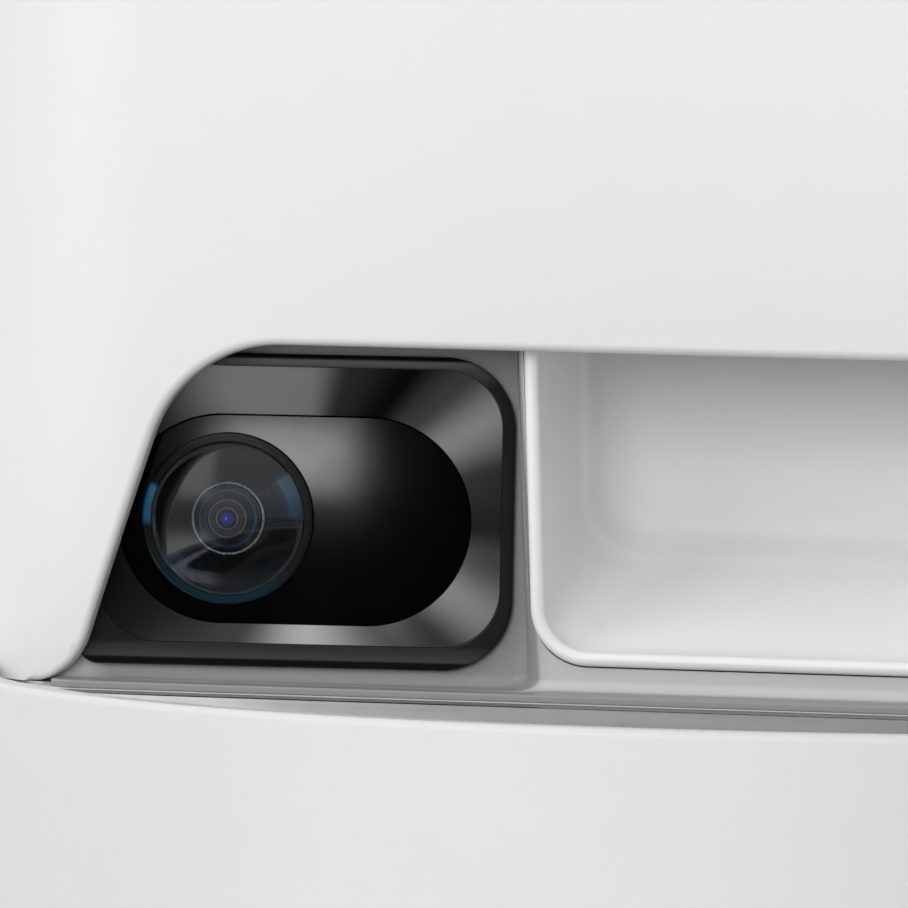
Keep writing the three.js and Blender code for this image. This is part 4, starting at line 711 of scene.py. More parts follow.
def back_grey(name, front, depth, stops):
    """Painted shade: darker on faces that face along the depth and lie deeper than a front line."""
    tree = finishes[name].node_tree
    normal = tree.nodes.new("ShaderNodeNewGeometry").outputs["Normal"]
    forward = math_node(tree, "ABSOLUTE", vector_node(tree, "DOT_PRODUCT", normal, (0, 1, 0)))
    y = vector_node(tree, "DOT_PRODUCT", object_place(tree), (0, 1, 0))
    sunk = math_node(tree, "DIVIDE", math_node(tree, "SUBTRACT", y, front * MM), depth * MM)
    aside, ahead = (math_node(tree, "SUBTRACT", 1, value) for value in (forward, sunk))
    tinted(tree, math_node(tree, "MAXIMUM", aside, ahead), stops)


# Moulded plastics
finish("shell_white", (0.80, 0.80, 0.805), 0.40, relief=0.004, mottle=0.006)
finish("tray_white", (0.70, 0.703, 0.706), 0.38, relief=0.004, mottle=0.008)
finish("liner_grey_and_painted_shade", (0.985, 0.985, 1), 0.32, relief=0.001, mottle=0.008)
finish("chute_white", (0.95, 0.95, 0.955), 0.4, relief=0.004, mottle=0.006)
finish("inner_white", (0.66, 0.67, 0.68), 0.52, relief=0.01, mottle=0.02)
finish("bezel_black", (0.98, 0.98, 1), 0.32, relief=0.001, mottle=0.02, swing=0.03, Specular_IOR_Level=0.3)
finish("ring_black", (0.98, 0.98, 0.98), 0.2, relief=0.001, mottle=0.08, swing=0.04)
finish("hood_black", (0.98, 0.98, 0.98), 0.4, relief=0.002, mottle=0.05, swing=0.04, Specular_IOR_Level=0.08)
finish("gear_plastic", (0.82, 0.8, 0.74), 0.42, relief=0.01, mottle=0.03)
finish("rotor_grey", (0.38, 0.4, 0.42), 0.5, relief=0.014, mottle=0.05)
finish("soft_grey", (0.27, 0.275, 0.28), 0.75, grain=1500, relief=0.03, mottle=0.08)
finish("rubber", (0.035, 0.035, 0.037), 0.8, grain=1800, relief=0.03, mottle=0.15, swing=0.1)
finish("light", (0.5, 0.74, 0.62), 0.25, relief=0.003, mottle=0.03)
finish(
    "board", (0.013, 0.1, 0.04), 0.42, grain=1300, relief=0.02, mottle=0.25, swing=0.15,
    speck=(0.05, 0.22, 0.1),
)

# Metals
finish(
    "bowl_steel", (0.96, 0.97, 0.98), 0.2, 1, grain=700, relief=0.004, mottle=0.04, swing=0.12,
    stretch=(0.04, 1, 1),
)
finish(
    "steel", (0.56, 0.57, 0.58), 0.28, 1, grain=2200, relief=0.004, mottle=0.04, swing=0.12,
    stretch=(1, 1, 0.08),
)
finish(
    "panel_grey", (0.98, 0.98, 0.985), 0.3, 0.85, grain=5200, relief=0.0006, mottle=0.015, swing=0.02,
    cloud=9,
)
finish("lens_ring", (0.95, 0.96, 0.97), 0.3, 1, grain=3600, relief=0.003, mottle=0.05, swing=0.1)
finish("brass", (0.58, 0.4, 0.13), 0.3, 1, grain=2400, relief=0.005, mottle=0.08, swing=0.12)

# Clear and polished pieces
finish(
    "window_black", (0.0008, 0.0008, 0.0008), 0.05, grain=160, relief=0.0001, mottle=0.3, swing=0.01,
    Specular_IOR_Level=0.4,
)
finish(
    "dome_glass", (0.62, 0.66, 0.69), 0.05, grain=300, relief=0.0002, mottle=0.01, swing=0.008,
    Transmission_Weight=1.0, IOR=1.49,
)
finish(
    "lens_glass", (0.9, 0.93, 0.97), 0.04, grain=500, relief=0.0003, mottle=0.1, swing=0.02,
    Specular_IOR_Level=0.3,
)
finish(
    "smoked", (0.05, 0.054, 0.06), 0.08, grain=240, relief=0.0008, mottle=0.1, swing=0.03,
    Transmission_Weight=0.75, IOR=1.49,
)

# Painted reflections, highlights and shade on pieces of the front, by place on the piece
# Colours of painted reflections, with DIM for the black between them
BLUE = (0.02, 0.16, 0.32)
SEA = (0.01, 0.1, 0.22)
TEAL = (0.001, 0.02, 0.03)
DIM = 0.006
# Painted reflections on the dish round the window: bright and dark fans
banded("panel_grey", CAMERA @ Matrix.Translation((0, WINDOW_Y, 0)), [
    (0.0, 0.03), (0.08, 0.03), (0.17, 0.08), (0.26, 0.7), (0.36, 0.12), (0.39, 0.06), (0.435, 0.55),
    (0.47, 0.2), (0.497, 0.05), (0.54, 0.08), (0.58, 0.62), (0.615, 0.12), (0.65, 0.004), (0.7, 0.05),
    (0.745, 0.4), (0.82, 0.4), (0.92, 0.1), (1.0, 0.04),
])
# Painted reflections on the front lens: a blue pupil, bright rings and blue glints
ringed("lens_glass", DOME, LENS_RADIUS, [
    (0.0, (0.02, 0.06, 0.95)), (0.17, (0.01, 0.03, 0.6)), (0.25, 0.002), (0.29, 0.02), (0.33, 0.3),
    (0.37, 0.03), (0.48, 0.08), (0.53, 0.02), (0.57, 0.35), (0.61, 0.01), (0.78, 0.004),
    (0.88, (0.01, 0.16, 0.32)), (0.93, 0.01), (1.0, 0.002),
])
# Painted reflections on the dome's ring: blue and teal crescents on black
banded("ring_black", DOME, [
    (0.0, SEA), (0.02, DIM), (0.2, TEAL), (0.3, TEAL), (0.42, DIM), (0.6, 0.012), (0.75, 0.03),
    (0.88, DIM), (0.93, DIM), (0.94, BLUE), (0.99, SEA), (1.0, SEA),
])
# Painted reflections in the hood: blue and teal glints on black
banded("hood_black", DOME, [
    (0.0, DIM), (0.09, DIM), (0.1, (0.01, 0.1, 0.2)), (0.16, (0.005, 0.05, 0.1)), (0.18, TEAL), (0.33, TEAL),
    (0.46, DIM), (0.497, DIM), (0.5, (0.03, 0.12, 0.3)), (0.6, (0.12, 0.4, 0.6)), (0.612, DIM), (1.0, DIM),
])
# Painted shade in the hood, darker towards the lens, so its painted reflections keep to the outer part
ringed("hood_black", DOME, HOOD_RADIUS, [(0.0, 0.04), (0.7, 0.1), (0.8, 0.25), (0.84, 1), (1.0, 1)])
# The bezel's black, with painted highlights along its rim near the top and bottom and painted shadow lines at
# both edges
bezel_foot = CAMERA @ Matrix.Translation((0, -BEZEL_CHIN - BEZEL_HEIGHT / 2, 0))
graded("bezel_black", bezel_foot, 1, BEZEL_HEIGHT + BEZEL_CHIN, [
    (0.0, 0.002), (0.022, 0.002), (0.028, 0.05), (0.06, 0.03), (0.08, 0.012), (0.9, 0.012),
    (0.955, 0.06), (0.98, 0.13), (0.988, 0.002), (1.0, 0.002),
])
# Painted shade on the liner: lighter at its front plane, greyer away from it
LINER_SHADE_DEPTH = 6
graded("liner_grey_and_painted_shade", Matrix.Translation((0, LINER_FRONT, 0)), 1, LINER_SHADE_DEPTH, [
    (0.0, 0.58), (0.1, 0.54), (0.2, 0.31), (1.0, 0.31),
])
# Painted shade on the steel: darker in the middle, brighter towards its ends
graded("bowl_steel", Matrix(), 0, BODY_HALF, [
    (0.0, 0.28), (0.28, 0.28), (0.5, 0.31), (0.68, 0.5), (1.0, 0.52),
])
# Painted shade on the chute's back wall and other deep faces that face the front
CHUTE_SHADE_DEPTH = 4
back_grey("chute_white", LINER_FRONT, CHUTE_SHADE_DEPTH, [(0.0, 0.84), (0.1, 0.84), (0.5, 1), (1.0, 1)])


# Lower body
def base_housing():
    rings = [
        level(lower_outline(inset), base_low.z + rise) for rise, inset in quarter_round(HOUSING_EDGE, 4)
    ]
    rings += rounded_rings(lower_outline, LIP_ROUND, base_high.z, 5)
    above = base_high.z + BEYOND
    below = base_low.z - BEYOND
    deck_under = DECK - DECK_THICKNESS
    room = common(
        slab(lower_outline(HOUSING_WALL), below, deck_under),
        block(-BODY_HALF * 2, BODY_HALF * 2, LINER_FRONT, BODY_BACK * 2, -BEYOND, deck_under),
    )
    housing = cut(
        loft(rings),
        slab(lower_outline(HOUSING_WALL), below, BOWL_SEAT - DECK_THICKNESS),
        room,
        slab(lower_outline(TRAY_LIP), DECK, above),
        slab(body_outline(-FIT), DECK, above),
        slab(bowl_outline(TRAY_LIP, LEDGE_LINE), BOWL_SEAT, above),
        slab(bowl_outline(TRAY_LIP + BOWL_FLANGE, LEDGE_LINE - BOWL_FLANGE), base_low.z, above),
        block(
            bay_low.x - FIT, bay_high.x + FIT, BODY_BACK - 2 * HOUSING_WALL, BODY_BACK + BEYOND,
            bay_low.z - FIT, bay_high.z + FIT,
        ),
    )
    soften(housing, HOUSING_SOFT_EDGE, lambda p: p.z > DECK - BEYOND / 2)
    return shade(housing)


def steel_bowl():
    under = BOWL_SEAT + FIT
    over = under + BOWL_SHEET
    rim = TRAY_LIP + BOWL_PLAY
    wall = rim + BOWL_FLANGE

    def ring(inset, height):
        return level(bowl_outline(inset, LEDGE_LINE - (inset - TRAY_LIP) + BOWL_PLAY / 2), height)

    def skin(grow):
        return [
            ring(wall + BOWL_SLOPE + grow + inset, bowl_low.z + grow + rise)
            for rise, inset in quarter_round(BOWL_FLOOR_ROUND, 8)
        ]

    rings = skin(0) + [ring(wall, under), ring(rim, under), ring(rim, over), ring(wall + BOWL_SHEET, over)]
    bowl = loft(rings + skin(BOWL_SHEET)[::-1])
    soften(bowl, BOWL_EDGE, lambda p: p.z > under - NEAR)
    return shade(bowl)


def foot(node):
    """A round foot with a groove turned into its underside."""
    low, high = span(node)
    radius = (high.x - low.x) / 2
    height = high.z - low.z
    flat = radius - height / 4
    groove = FOOT_GROOVE
    profile = [(0, 0), (flat - 3 * groove, 0), (flat - 2 * groove, groove), (flat - groove, 0)]
    profile += [(radius - inset, rise) for rise, inset in quarter_round(height / 4, 4)]
    profile += [(radius, height), (0, height)]
    return shade(turned(profile, Matrix.Translation((*((low + high) / 2).xy, low.z))))


# Body shell
def recess_outline():
    slant = math.atan2(RECESS_BOTTOM_HALF - RECESS_TOP_HALF, RECESS_HEIGHT)
    turn = QUARTER - slant
    top_x = RECESS_TOP_HALF - RECESS_TOP_ROUND * math.tan(turn / 2)
    top_z = RECESS_TOP - RECESS_TOP_ROUND
    flare_x = RECESS_BOTTOM_HALF + RECESS_FLARE * math.tan(turn / 2)
    flare_z = SHELL_BOTTOM + RECESS_FLARE
    points = [(flare_x, SHELL_BOTTOM - BEYOND)]
    points += sweep(flare_x, flare_z, RECESS_FLARE, 3 * QUARTER, 3 * QUARTER - turn)
    return mirrored(points + sweep(top_x, top_z, RECESS_TOP_ROUND, slant, QUARTER, FINE_ARC_STEPS))


def service_outline(inset):
    corner = max(SERVICE_CORNER - inset, SERVICE_CORNER / 2)
    return rounded_box(SERVICE_HALF - inset, SERVICE_HEIGHT / 2 - inset, corner, 0, SERVICE_MIDDLE)


def body_shell():
    corners = ((0, SHELL_BOTTOM), (0, SHELL_TOP), (SHELL_WALL, SHELL_TOP), (SHELL_WALL, SHELL_BOTTOM))
    tube = loft([level(body_outline(inset), height) for inset, height in corners], closed=True)
    ledge_front = BODY_BACK - SHELL_WALL - SERVICE_THICKNESS
    ledge = upright(service_outline(-SERVICE_LEDGE), ledge_front, BODY_BACK - SHELL_WALL / 2)
    clear = SERVICE_HALF - SCREW_INSET * 2
    shell = cut(
        join(tube, ledge),
        upright(recess_outline(), BODY_FRONT - BEYOND, TRAY_CENTRE),
        upright(service_outline(0), BODY_BACK - SHELL_WALL, BODY_BACK + BEYOND),
        block(
            -clear, clear, ledge_front - BEYOND, BODY_BACK,
            SERVICE_BOTTOM + SERVICE_LIP, SERVICE_BOTTOM + SERVICE_HEIGHT - SERVICE_LIP,
        ),
    )
    corner_x = BODY_HALF - BODY_CORNER

    def outside(point):
        if abs(point.x) < corner_x:
            return point.y < BODY_FRONT + OUTER_SKIN
        reach = Vector((abs(point.x) - corner_x, point.y - TRAY_CENTRE)).length
        return reach > BODY_CORNER - OUTER_SKIN

    def on_cutout(point):
        inside = SHELL_BOTTOM + HAIR < point.z < RECESS_TOP + BEYOND / 2
        return inside and point.y < TRAY_CENTRE and outside(point)

    soften(shell, RECESS_EDGE, on_cutout, segments=5)
    soften(shell, SHELL_EDGE, lambda p: p.y > TRAY_CENTRE or p.z > RECESS_TOP + BEYOND)
    return shade(shell)


# Liner
def wing_y(x):
    return BODY_FRONT + WING_SETBACK + (x + BEZEL_X) * math.tan(WING_TURN)


def chute_edge(height):
    return CHUTE_TOP_HALF - (RECESS_TOP - height) * math.tan(CHUTE_TAPER)


def wing_end():
    """Where the wing's face runs into the liner's round corner, and that corner's centre."""
    corner = Vector((BODY_CORNER - BODY_HALF, TRAY_CENTRE))
    centre = Vector((-BEZEL_X, BODY_FRONT + WING_SETBACK))
    along = Vector((math.cos(WING_TURN), math.sin(WING_TURN)))
    offset = centre - corner
    toward = offset.dot(along)
    reach = -toward - math.sqrt(toward * toward - offset.length_squared + LINER_CORNER ** 2)
    return centre + along * reach, corner


wing_stop, corner_centre = wing_end()


def liner_corner(radius):
    """The liner's round corner in plan, up to the wing."""
    toward = wing_stop - corner_centre
    turn = math.atan2(toward.y, toward.x) + 4 * QUARTER
    return sweep(corner_centre.x, corner_centre.y, radius, turn - LINER_CORNER_TURN, turn)


def round_off(before, corner, after, radius):
    """An arc of a given radius between two straight lines that meet at a corner."""
    start = (Vector(before) - Vector(corner)).normalized()
    stop = (Vector(after) - Vector(corner)).normalized()
    half = math.acos(max(-1, min(1, start.dot(stop)))) / 2
    middle = Vector(corner) + (start + stop).normalized() * radius / math.sin(half)
    first = Vector(corner) + start * radius / math.tan(half) - middle
    last = Vector(corner) + stop * radius / math.tan(half) - middle
    sweep_angle = first.angle_signed(last)
    turns = [Matrix.Rotation(-sweep_angle * i / ARC_STEPS, 2) for i in range(ARC_STEPS + 1)]
    return [tuple(middle + turn @ first) for turn in turns]


def liner_front(height, forward=0):
    """The liner's face in plan: corner, wing, hollow corner, pedestal, and the same mirrored."""
    share = (height - liner_low.z) / (liner_high.z - liner_low.z)
    cove = PEDESTAL_FOOT_COVE + (PEDESTAL_COVE - PEDESTAL_FOOT_COVE) * min(1, share * 2)
    edge = PEDESTAL_FOOT_ROUND + (PEDESTAL_ROUND - PEDESTAL_FOOT_ROUND) * share
    side = -chute_edge(height) - PEDESTAL_MARGIN - forward
    front = LINER_FRONT - forward
    meet = (side, wing_y(side) - forward)
    path = liner_corner(LINER_CORNER)
    path += round_off((wing_stop.x, wing_y(wing_stop.x) - forward), meet, (side, front), cove)
    path += round_off(meet, (side, front), (0, front), edge)
    return mirrored(path)


def liner_back():
    """The liner's rear in plan, from right to left."""
    stop = -chute_edge(liner_high.z)
    path = liner_corner(LINER_CORNER - LINER_WALL) + [(stop, wing_y(stop) + LINER_WALL)]
    return mirrored(path)[::-1]


def sill():
    """The flat sill at the liner's foot, and a filler under the shell's flare."""
    depth = wing_stop.y + LINER_WALL / 2 - SILL_FRONT

    def outline(inset):
        corner = min(SILL_CORNER, depth / 2 - FIT) - inset / 2
        middle = SILL_FRONT + (depth + inset) / 2
        return rounded_box(SILL_HALF - inset, (depth - inset) / 2, corner, 0, middle)

    rings = [level(outline(0), DECK + SNUG)] + rounded_rings(outline, SILL_EDGE, SILL_TOP, 4)
    stop = chute_edge(liner_high.z)
    behind = wing_y(-stop) + LINER_WALL / 2
    bridge = [tuple(wing_stop), (-wing_stop.x, wing_stop.y), (stop, behind), (-stop, behind)]
    filler = cut(
        common(
            slab(body_outline(SILL_SETBACK), DECK + SNUG, SHELL_BOTTOM - SNUG),
            block(-SILL_REACH, SILL_REACH, BODY_FRONT, TRAY_CENTRE, DECK - BEYOND, SHELL_TOP),
        ),
        slab(body_outline(SHELL_WALL), DECK - BEYOND, SHELL_TOP),
    )
    return join(loft(rings), slab(bridge, liner_low.z, SILL_TOP), filler)


def seam(side):
    """A thin groove down the pedestal that closes in on the chute's bead."""
    low, high = CHUTE_BOTTOM + SEAM_STOP, liner_high.z + BEYOND
    near = chute_edge(low) + SEAM_NEAR
    far = chute_edge(high) + SEAM_FAR
    outline = [(near, low), (near + SEAM_WIDTH, low), (far + SEAM_WIDTH, high), (far, high)]
    return upright([(side * x, z) for x, z in outline], LINER_FRONT - BEYOND, LINER_FRONT + SEAM_DEPTH)


def chute_outline(inset, top, lift=0, corner=None):
    """The chute in X and Z, open at its top."""
    corner = CHUTE_CORNER - inset if corner is None else corner
    corner_z = CHUTE_BOTTOM + inset + lift + corner
    corner_x = chute_edge(corner_z) - inset - corner
    top_x = chute_edge(top) - inset
    points = [(top_x, top), (-top_x, top)]
    points += sweep(-corner_x, corner_z, corner, 2 * QUARTER, 3 * QUARTER)
    return points + sweep(corner_x, corner_z, corner, 3 * QUARTER, 4 * QUARTER)


def recess_liner():
    top = liner_high.z
    back = liner_back()
    rings = [level(liner_front(liner_low.z, COVE) + back, liner_low.z)]
    for rise, forward in quarter_round(COVE, 8):
        rings.append(level(liner_front(SILL_TOP + rise, forward) + back, SILL_TOP + rise))
    for i in range(1, LINER_STEPS + 1):
        height = SILL_TOP + COVE + (top - SILL_TOP - COVE) * i / LINER_STEPS
        rings.append(level(liner_front(height) + back, height))
    throat = chute_outline(CHUTE_RIM - CHUTE_WALL - FIT, top + BEYOND)
    seat = chute_outline(RIM_LAP, top + BEYOND)
    hole = rounded_box(SLEEVE_X + FIT, SLEEVE_Y + FIT, SLEEVE_CORNER + FIT)
    slot = obround(SLOT_LENGTH / 2, SLOT_WIDTH / 2, steps=SLOT_ARC_STEPS)
    slots = [slab([(x - v, u) for u, v in slot], -SLEEVE_DEPTH, BEYOND, SPEAKER) for x in SLOT_PLACES]
    liner = cut(
        join(loft(rings), sill()),
        upright(throat, LINER_FRONT - BEYOND, LINER_FRONT + CHUTE_DEPTH),
        upright(seat, LINER_FRONT - BEYOND, LINER_FRONT + CHUTE_SINK + SNUG),
        slab(hole, -SLEEVE_DEPTH, BEYOND, CAMERA),
        *slots, seam(-1), seam(1),
    )
    return shade(liner, 50)


def slide_lift(share):
    """The slide's height over the chute's depth: level at the mouth, then an even climb."""
    climb = SLIDE_RISE / (1 - SLIDE_EASE_SHARE / 2)
    if share < SLIDE_EASE_SHARE:
        return climb * max(share, 0) ** 2 / (2 * SLIDE_EASE_SHARE)
    return climb * (share - SLIDE_EASE_SHARE / 2)


def chute():
    top = liner_high.z
    front = LINER_FRONT - CHUTE_PROUD
    rim_back = LINER_FRONT + CHUTE_SINK
    back = front + CHUTE_DEPTH
    bead = CHUTE_RIM / 2
    start = front + bead
    body_inset = CHUTE_RIM - CHUTE_WALL

    def ring(inset, y, lift=0, corner=None):
        return [(x, y, z) for x, z in chute_outline(inset, top + BEYOND * 4, lift, corner)]

    def cavity(inset, y):
        """The inside at one depth, with its floor lifted."""
        lift = slide_lift((y - start) / (back - start))
        growth = min(lift * CAVITY_CORNER_SHARE, CAVITY_CORNER_GROWTH)
        return ring(inset, y, lift, CHUTE_CORNER - CHUTE_RIM + growth)

    outer = [ring((bead - BEAD_FLAT) * inset, front + bead * rise) for rise, inset in quarter_round(1, 5)]
    outer += [ring(0, rim_back), ring(body_inset, rim_back + HAIR), ring(body_inset, back + CHUTE_WALL)]

    # The cavity: a rounded mouth, then a floor that climbs and meets the back in a fillet
    inner = [cavity(bead, front - BEYOND)]
    inner += [cavity(bead * (2 - inset), front + bead * rise) for rise, inset in quarter_round(1, 6)]
    slide = back - CHUTE_BACK_ROUND - start
    inner += [cavity(CHUTE_RIM, start + slide * i / SLIDE_STEPS) for i in range(1, SLIDE_STEPS + 1)]
    inner += [cavity(CHUTE_RIM + inset, back - gap) for inset, gap in quarter_round(CHUTE_BACK_ROUND, 8)[1:]]
    crown = block(-BODY_HALF, BODY_HALF, BODY_FRONT, BODY_BACK, top, top * 2)
    return shade(cut(loft(outer), loft(inner), crown), 50)


# Camera
def bezel_outline(inset):
    """Round corners towards the chute, tight ones and a narrow ear towards the shell."""
    right, left = BEZEL_WIDTH / 2 - inset, inset - BEZEL_EAR - BEZEL_WIDTH / 2
    top, bottom = BEZEL_HEIGHT / 2 - inset, inset - BEZEL_CHIN - BEZEL_HEIGHT / 2
    tight, wide = BEZEL_EAR_CORNER - inset, BEZEL_CORNER - inset
    return cornered(left, right, bottom, top, tight, wide, FINE_ARC_STEPS)


def bezel_opening(inset):
    top = BEZEL_HEIGHT / 2 - BEZEL_RIM
    bottom = BEZEL_LOW_RIM - BEZEL_HEIGHT / 2
    half_x = BEZEL_WIDTH / 2 - BEZEL_RIM - inset
    corner = BEZEL_CORNER - BEZEL_RIM - inset
    return rounded_box(half_x, (top - bottom) / 2 - inset, corner, 0, (top + bottom) / 2, FINE_ARC_STEPS)


def camera_bezel():
    rings = [level(bezel_outline(0), FIT)]
    rings += rounded_rings(bezel_outline, BEZEL_PROUD / 3, BEZEL_PROUD, 4)
    for drop, inset in quarter_round(BEZEL_INNER_EDGE, 3):
        rings.append(level(bezel_opening(-inset), BEZEL_PROUD - drop))
    sleeve = rounded_box(SLEEVE_X, SLEEVE_Y, SLEEVE_CORNER, steps=FINE_ARC_STEPS)
    rings += [level(bezel_opening(0), -SLEEVE_DEPTH), level(sleeve, -SLEEVE_DEPTH), level(sleeve, FIT)]
    return shade(loft(rings, closed=True, placement=CAMERA))


def camera_bevel_panel():
    """A dish that slopes from the bezel's opening down to the window."""
    outline = bezel_opening(SNUG)
    rim = []
    for point, after in zip(outline, outline[1:] + outline[:1]):
        count = max(1, int(math.dist(point, after) / PANEL_STEP))
        rim += [between(point, after, k / count) for k in range(count)]
    reach = (WINDOW_WIDTH - WINDOW_HEIGHT) / 2
    foot_line = []
    for x, y in rim:
        spine = Vector((max(-reach, min(reach, x - WINDOW_X)) + WINDOW_X, WINDOW_Y))
        away = (Vector((x, y)) - spine).normalized()
        foot_line.append(tuple(spine + away * (WINDOW_HEIGHT / 2 + SNUG)))
    under = DISH_FLOOR - PANEL_THICKNESS
    rise = BEZEL_PROUD - FIT - DISH_FLOOR
    rings = [level(foot_line, under), level(foot_line, DISH_FLOOR - PANEL_LIP)]
    for i in range(PANEL_STEPS + 1):
        share = i / PANEL_STEPS
        points = [between(a, b, share) for a, b in zip(foot_line, rim)]
        rings.append(level(points, DISH_FLOOR + rise * share))
    rings.append(level(rim, under))
    return shade(loft(rings, closed=True, placement=CAMERA))


def camera_window():
    rings = []
    for inset, height in ((0, WINDOW_BOTTOM), (0, WINDOW_TOP - WINDOW_EDGE), (WINDOW_EDGE, WINDOW_TOP)):
        half_x, half_y = WINDOW_WIDTH / 2 - inset, WINDOW_HEIGHT / 2 - inset
        rings.append(level(obround(half_x, half_y, WINDOW_X, WINDOW_Y), height))
    hole = rod(DOME_RADIUS + FIT, WINDOW_BOTTOM - BEYOND, WINDOW_TOP + BEYOND, DOME)
    return shade(cut(loft(rings, placement=CAMERA), hole), 30)


def dome_ring():
    bottom = WINDOW_TOP + FIT
    top = bottom + RING_HEIGHT
    inner = DOME_RADIUS + FIT
    profile = [(inner, bottom), (RING_RADIUS, bottom)]
    profile += [(RING_RADIUS - inset, top - drop) for inset, drop in quarter_round(RING_HEIGHT / 2, 5)]
    profile += [(inner + RING_INNER_EDGE, top), (inner, top - RING_INNER_EDGE), (inner, bottom)]
    return shade(turned(profile, DOME, FINE_TURN_STEPS))


def cap_profile(radius, rise, base, steps):
    """A spherical cap from its rim up to its apex."""
    sphere = (radius * radius + rise * rise) / (2 * rise)
    reach = math.asin(radius / sphere)
    angles = [reach * (1 - i / steps) for i in range(steps)]
    points = [(sphere * math.sin(a), base + sphere * math.cos(a) - sphere + rise) for a in angles]
    return points + [(0, base + rise)]


def camera_dome():
    """A thin clear cap that springs from the ring's inner edge."""
    spring = WINDOW_TOP + FIT + RING_HEIGHT - RING_LAP
    rise = WINDOW_BOTTOM + DOME_WALL + DOME_HEIGHT - spring
    radius = DOME_RADIUS + FIT - SNUG
    outer = cap_profile(radius, rise, spring, DOME_STEPS)
    inner = cap_profile(radius - DOME_GLASS, rise - DOME_GLASS, spring, DOME_STEPS)
    return shade(turned(inner[::-1] + outer, DOME, FINE_TURN_STEPS))


def lens_barrel():
    seat = BARREL_TOP - LENS_RING_HEIGHT
    slope_top = LENS_RING_RADIUS + FIT * 2
    hood_low = WINDOW_BOTTOM + HOOD_EDGE
    profile = [(0, BARREL_BOTTOM), (BARREL_RADIUS, BARREL_BOTTOM), (BARREL_RADIUS, WINDOW_BOTTOM - HOOD_EDGE)]
    profile += [(HOOD_RADIUS, WINDOW_BOTTOM), (HOOD_RADIUS, hood_low)]
    for i in range(1, HOOD_STEPS + 1):
        share = i / (HOOD_STEPS + 1)
        radius, height = between((HOOD_RADIUS, hood_low), (slope_top, BARREL_TOP), share)
        profile += [(radius, height - HOOD_STEP_RISE), (radius - HOOD_STEP_REACH, height)]
    profile += [(slope_top, BARREL_TOP), (LENS_RING_RADIUS + FIT, BARREL_TOP)]
    profile += [(LENS_RING_RADIUS + FIT, seat), (0, seat)]
    return shade(turned(profile, DOME))


def lens_retaining_ring():
    bottom = BARREL_TOP - LENS_RING_HEIGHT + FIT
    top = bottom + LENS_RING_HEIGHT
    inner, edge = LENS_RADIUS + FIT, LENS_RING_EDGE
    return shade(turned([
        (inner, bottom), (LENS_RING_RADIUS, bottom), (LENS_RING_RADIUS, top - edge),
        (LENS_RING_RADIUS - edge, top), (inner + edge, top), (inner, top - edge), (inner, bottom),
    ], DOME, FINE_TURN_STEPS))


def front_lens():
    """A domed front glass with two shallow grooves round its pupil."""
    bottom = BARREL_TOP - LENS_RING_HEIGHT + FIT
    profile = [(0, bottom), (LENS_RADIUS, bottom)]
    for radius, height in cap_profile(LENS_RADIUS, LENS_CROWN, bottom + LENS_RING_HEIGHT / 2, LENS_STEPS):
        for place in GROOVE_PLACE_SHARES:
            away = abs(radius / LENS_RADIUS - place) / GROOVE_WIDTH_SHARE
            height -= max(0, 1 - away) * GROOVE_DEPTH
        profile.append((radius, height))
    return shade(turned(profile, DOME, FINE_TURN_STEPS))


# Top frame and button
def top_frame():
    below = TOP_BOTTOM - TOP_SKIRT - BEYOND
    above = TOP_TOP + BEYOND
    plate_under = TOP_TOP - TOP_PLATE
    rings = [level(body_outline(0), TOP_BOTTOM)] + rounded_rings(body_outline, TOP_ROUND, TOP_TOP, 8)
    skirt = slab(body_outline(SHELL_WALL + FIT), TOP_BOTTOM - TOP_SKIRT, TOP_BOTTOM + TOP_WALL)
    hollow = slab(body_outline(TOP_WALL), below, plate_under)
    collar = slab(tank_outline(OPENING_GAP * 2), TOP_BOTTOM, TOP_TOP - TOP_PLATE / 2)
    solid = join(cut(join(loft(rings), skirt), hollow), collar)
    flange_x = BUTTON_HALF + BUTTON_FLANGE + FIT
    flange_y = BUTTON_WIDTH + BUTTON_FLANGE + FIT
    light = Matrix.Translation((LIGHT_X, BUTTON_Y, 0))
    cut(
        solid,
        slab(obround(flange_x, flange_y, 0, BUTTON_Y), below, plate_under),
        slab(tank_outline(OPENING_GAP), below, above),
        slab(obround(BUTTON_HALF + FIT, BUTTON_WIDTH + FIT, 0, BUTTON_Y), TOP_BOTTOM, above),
        rod(LIGHT_RADIUS + FIT, plate_under - BEYOND, above, light, LIGHT_STEPS),
    )
    soften(solid, TOP_EDGE, lambda p: p.z > TOP_BOTTOM - NEAR, segments=2)
    return shade(solid)


def feed_button():
    """An obround key with a shallow dish."""
    low = span("feed_button")[0].z
    top = TOP_TOP + BUTTON_PROUD
    flange = obround(BUTTON_HALF + BUTTON_FLANGE, BUTTON_WIDTH + BUTTON_FLANGE, 0, BUTTON_Y)
    cap = slab(obround(BUTTON_HALF, BUTTON_WIDTH, 0, BUTTON_Y), low, top)
    sphere = BUTTON_HALF * 2
    dish_low = top - BUTTON_PROUD / 2
    profile = [(0, dish_low)]
    for rise, inset in quarter_round(sphere, BUTTON_DISH_STEPS)[1:]:
        profile.append((sphere - inset, dish_low + rise))
    profile.append((0, dish_low + sphere))
    dish = turned(profile, Matrix.Translation((0, BUTTON_Y, 0)))
    button = cut(join(slab(flange, low, TOP_TOP - TOP_PLATE - FIT), cap), dish)
    soften(button, BUTTON_EDGE, lambda p: p.z > top - BUTTON_PROUD)
    return shade(button)


# Lid
def lid_outline(inset):
    return tank_outline(TANK_FLANGE + LID_OVERHANG - inset)


def lid_window_outline(inset):
    return rounded_box(LID_WINDOW_X - inset, LID_WINDOW_Y - inset, LID_WINDOW_CORNER - inset, 0, TANK_MIDDLE)


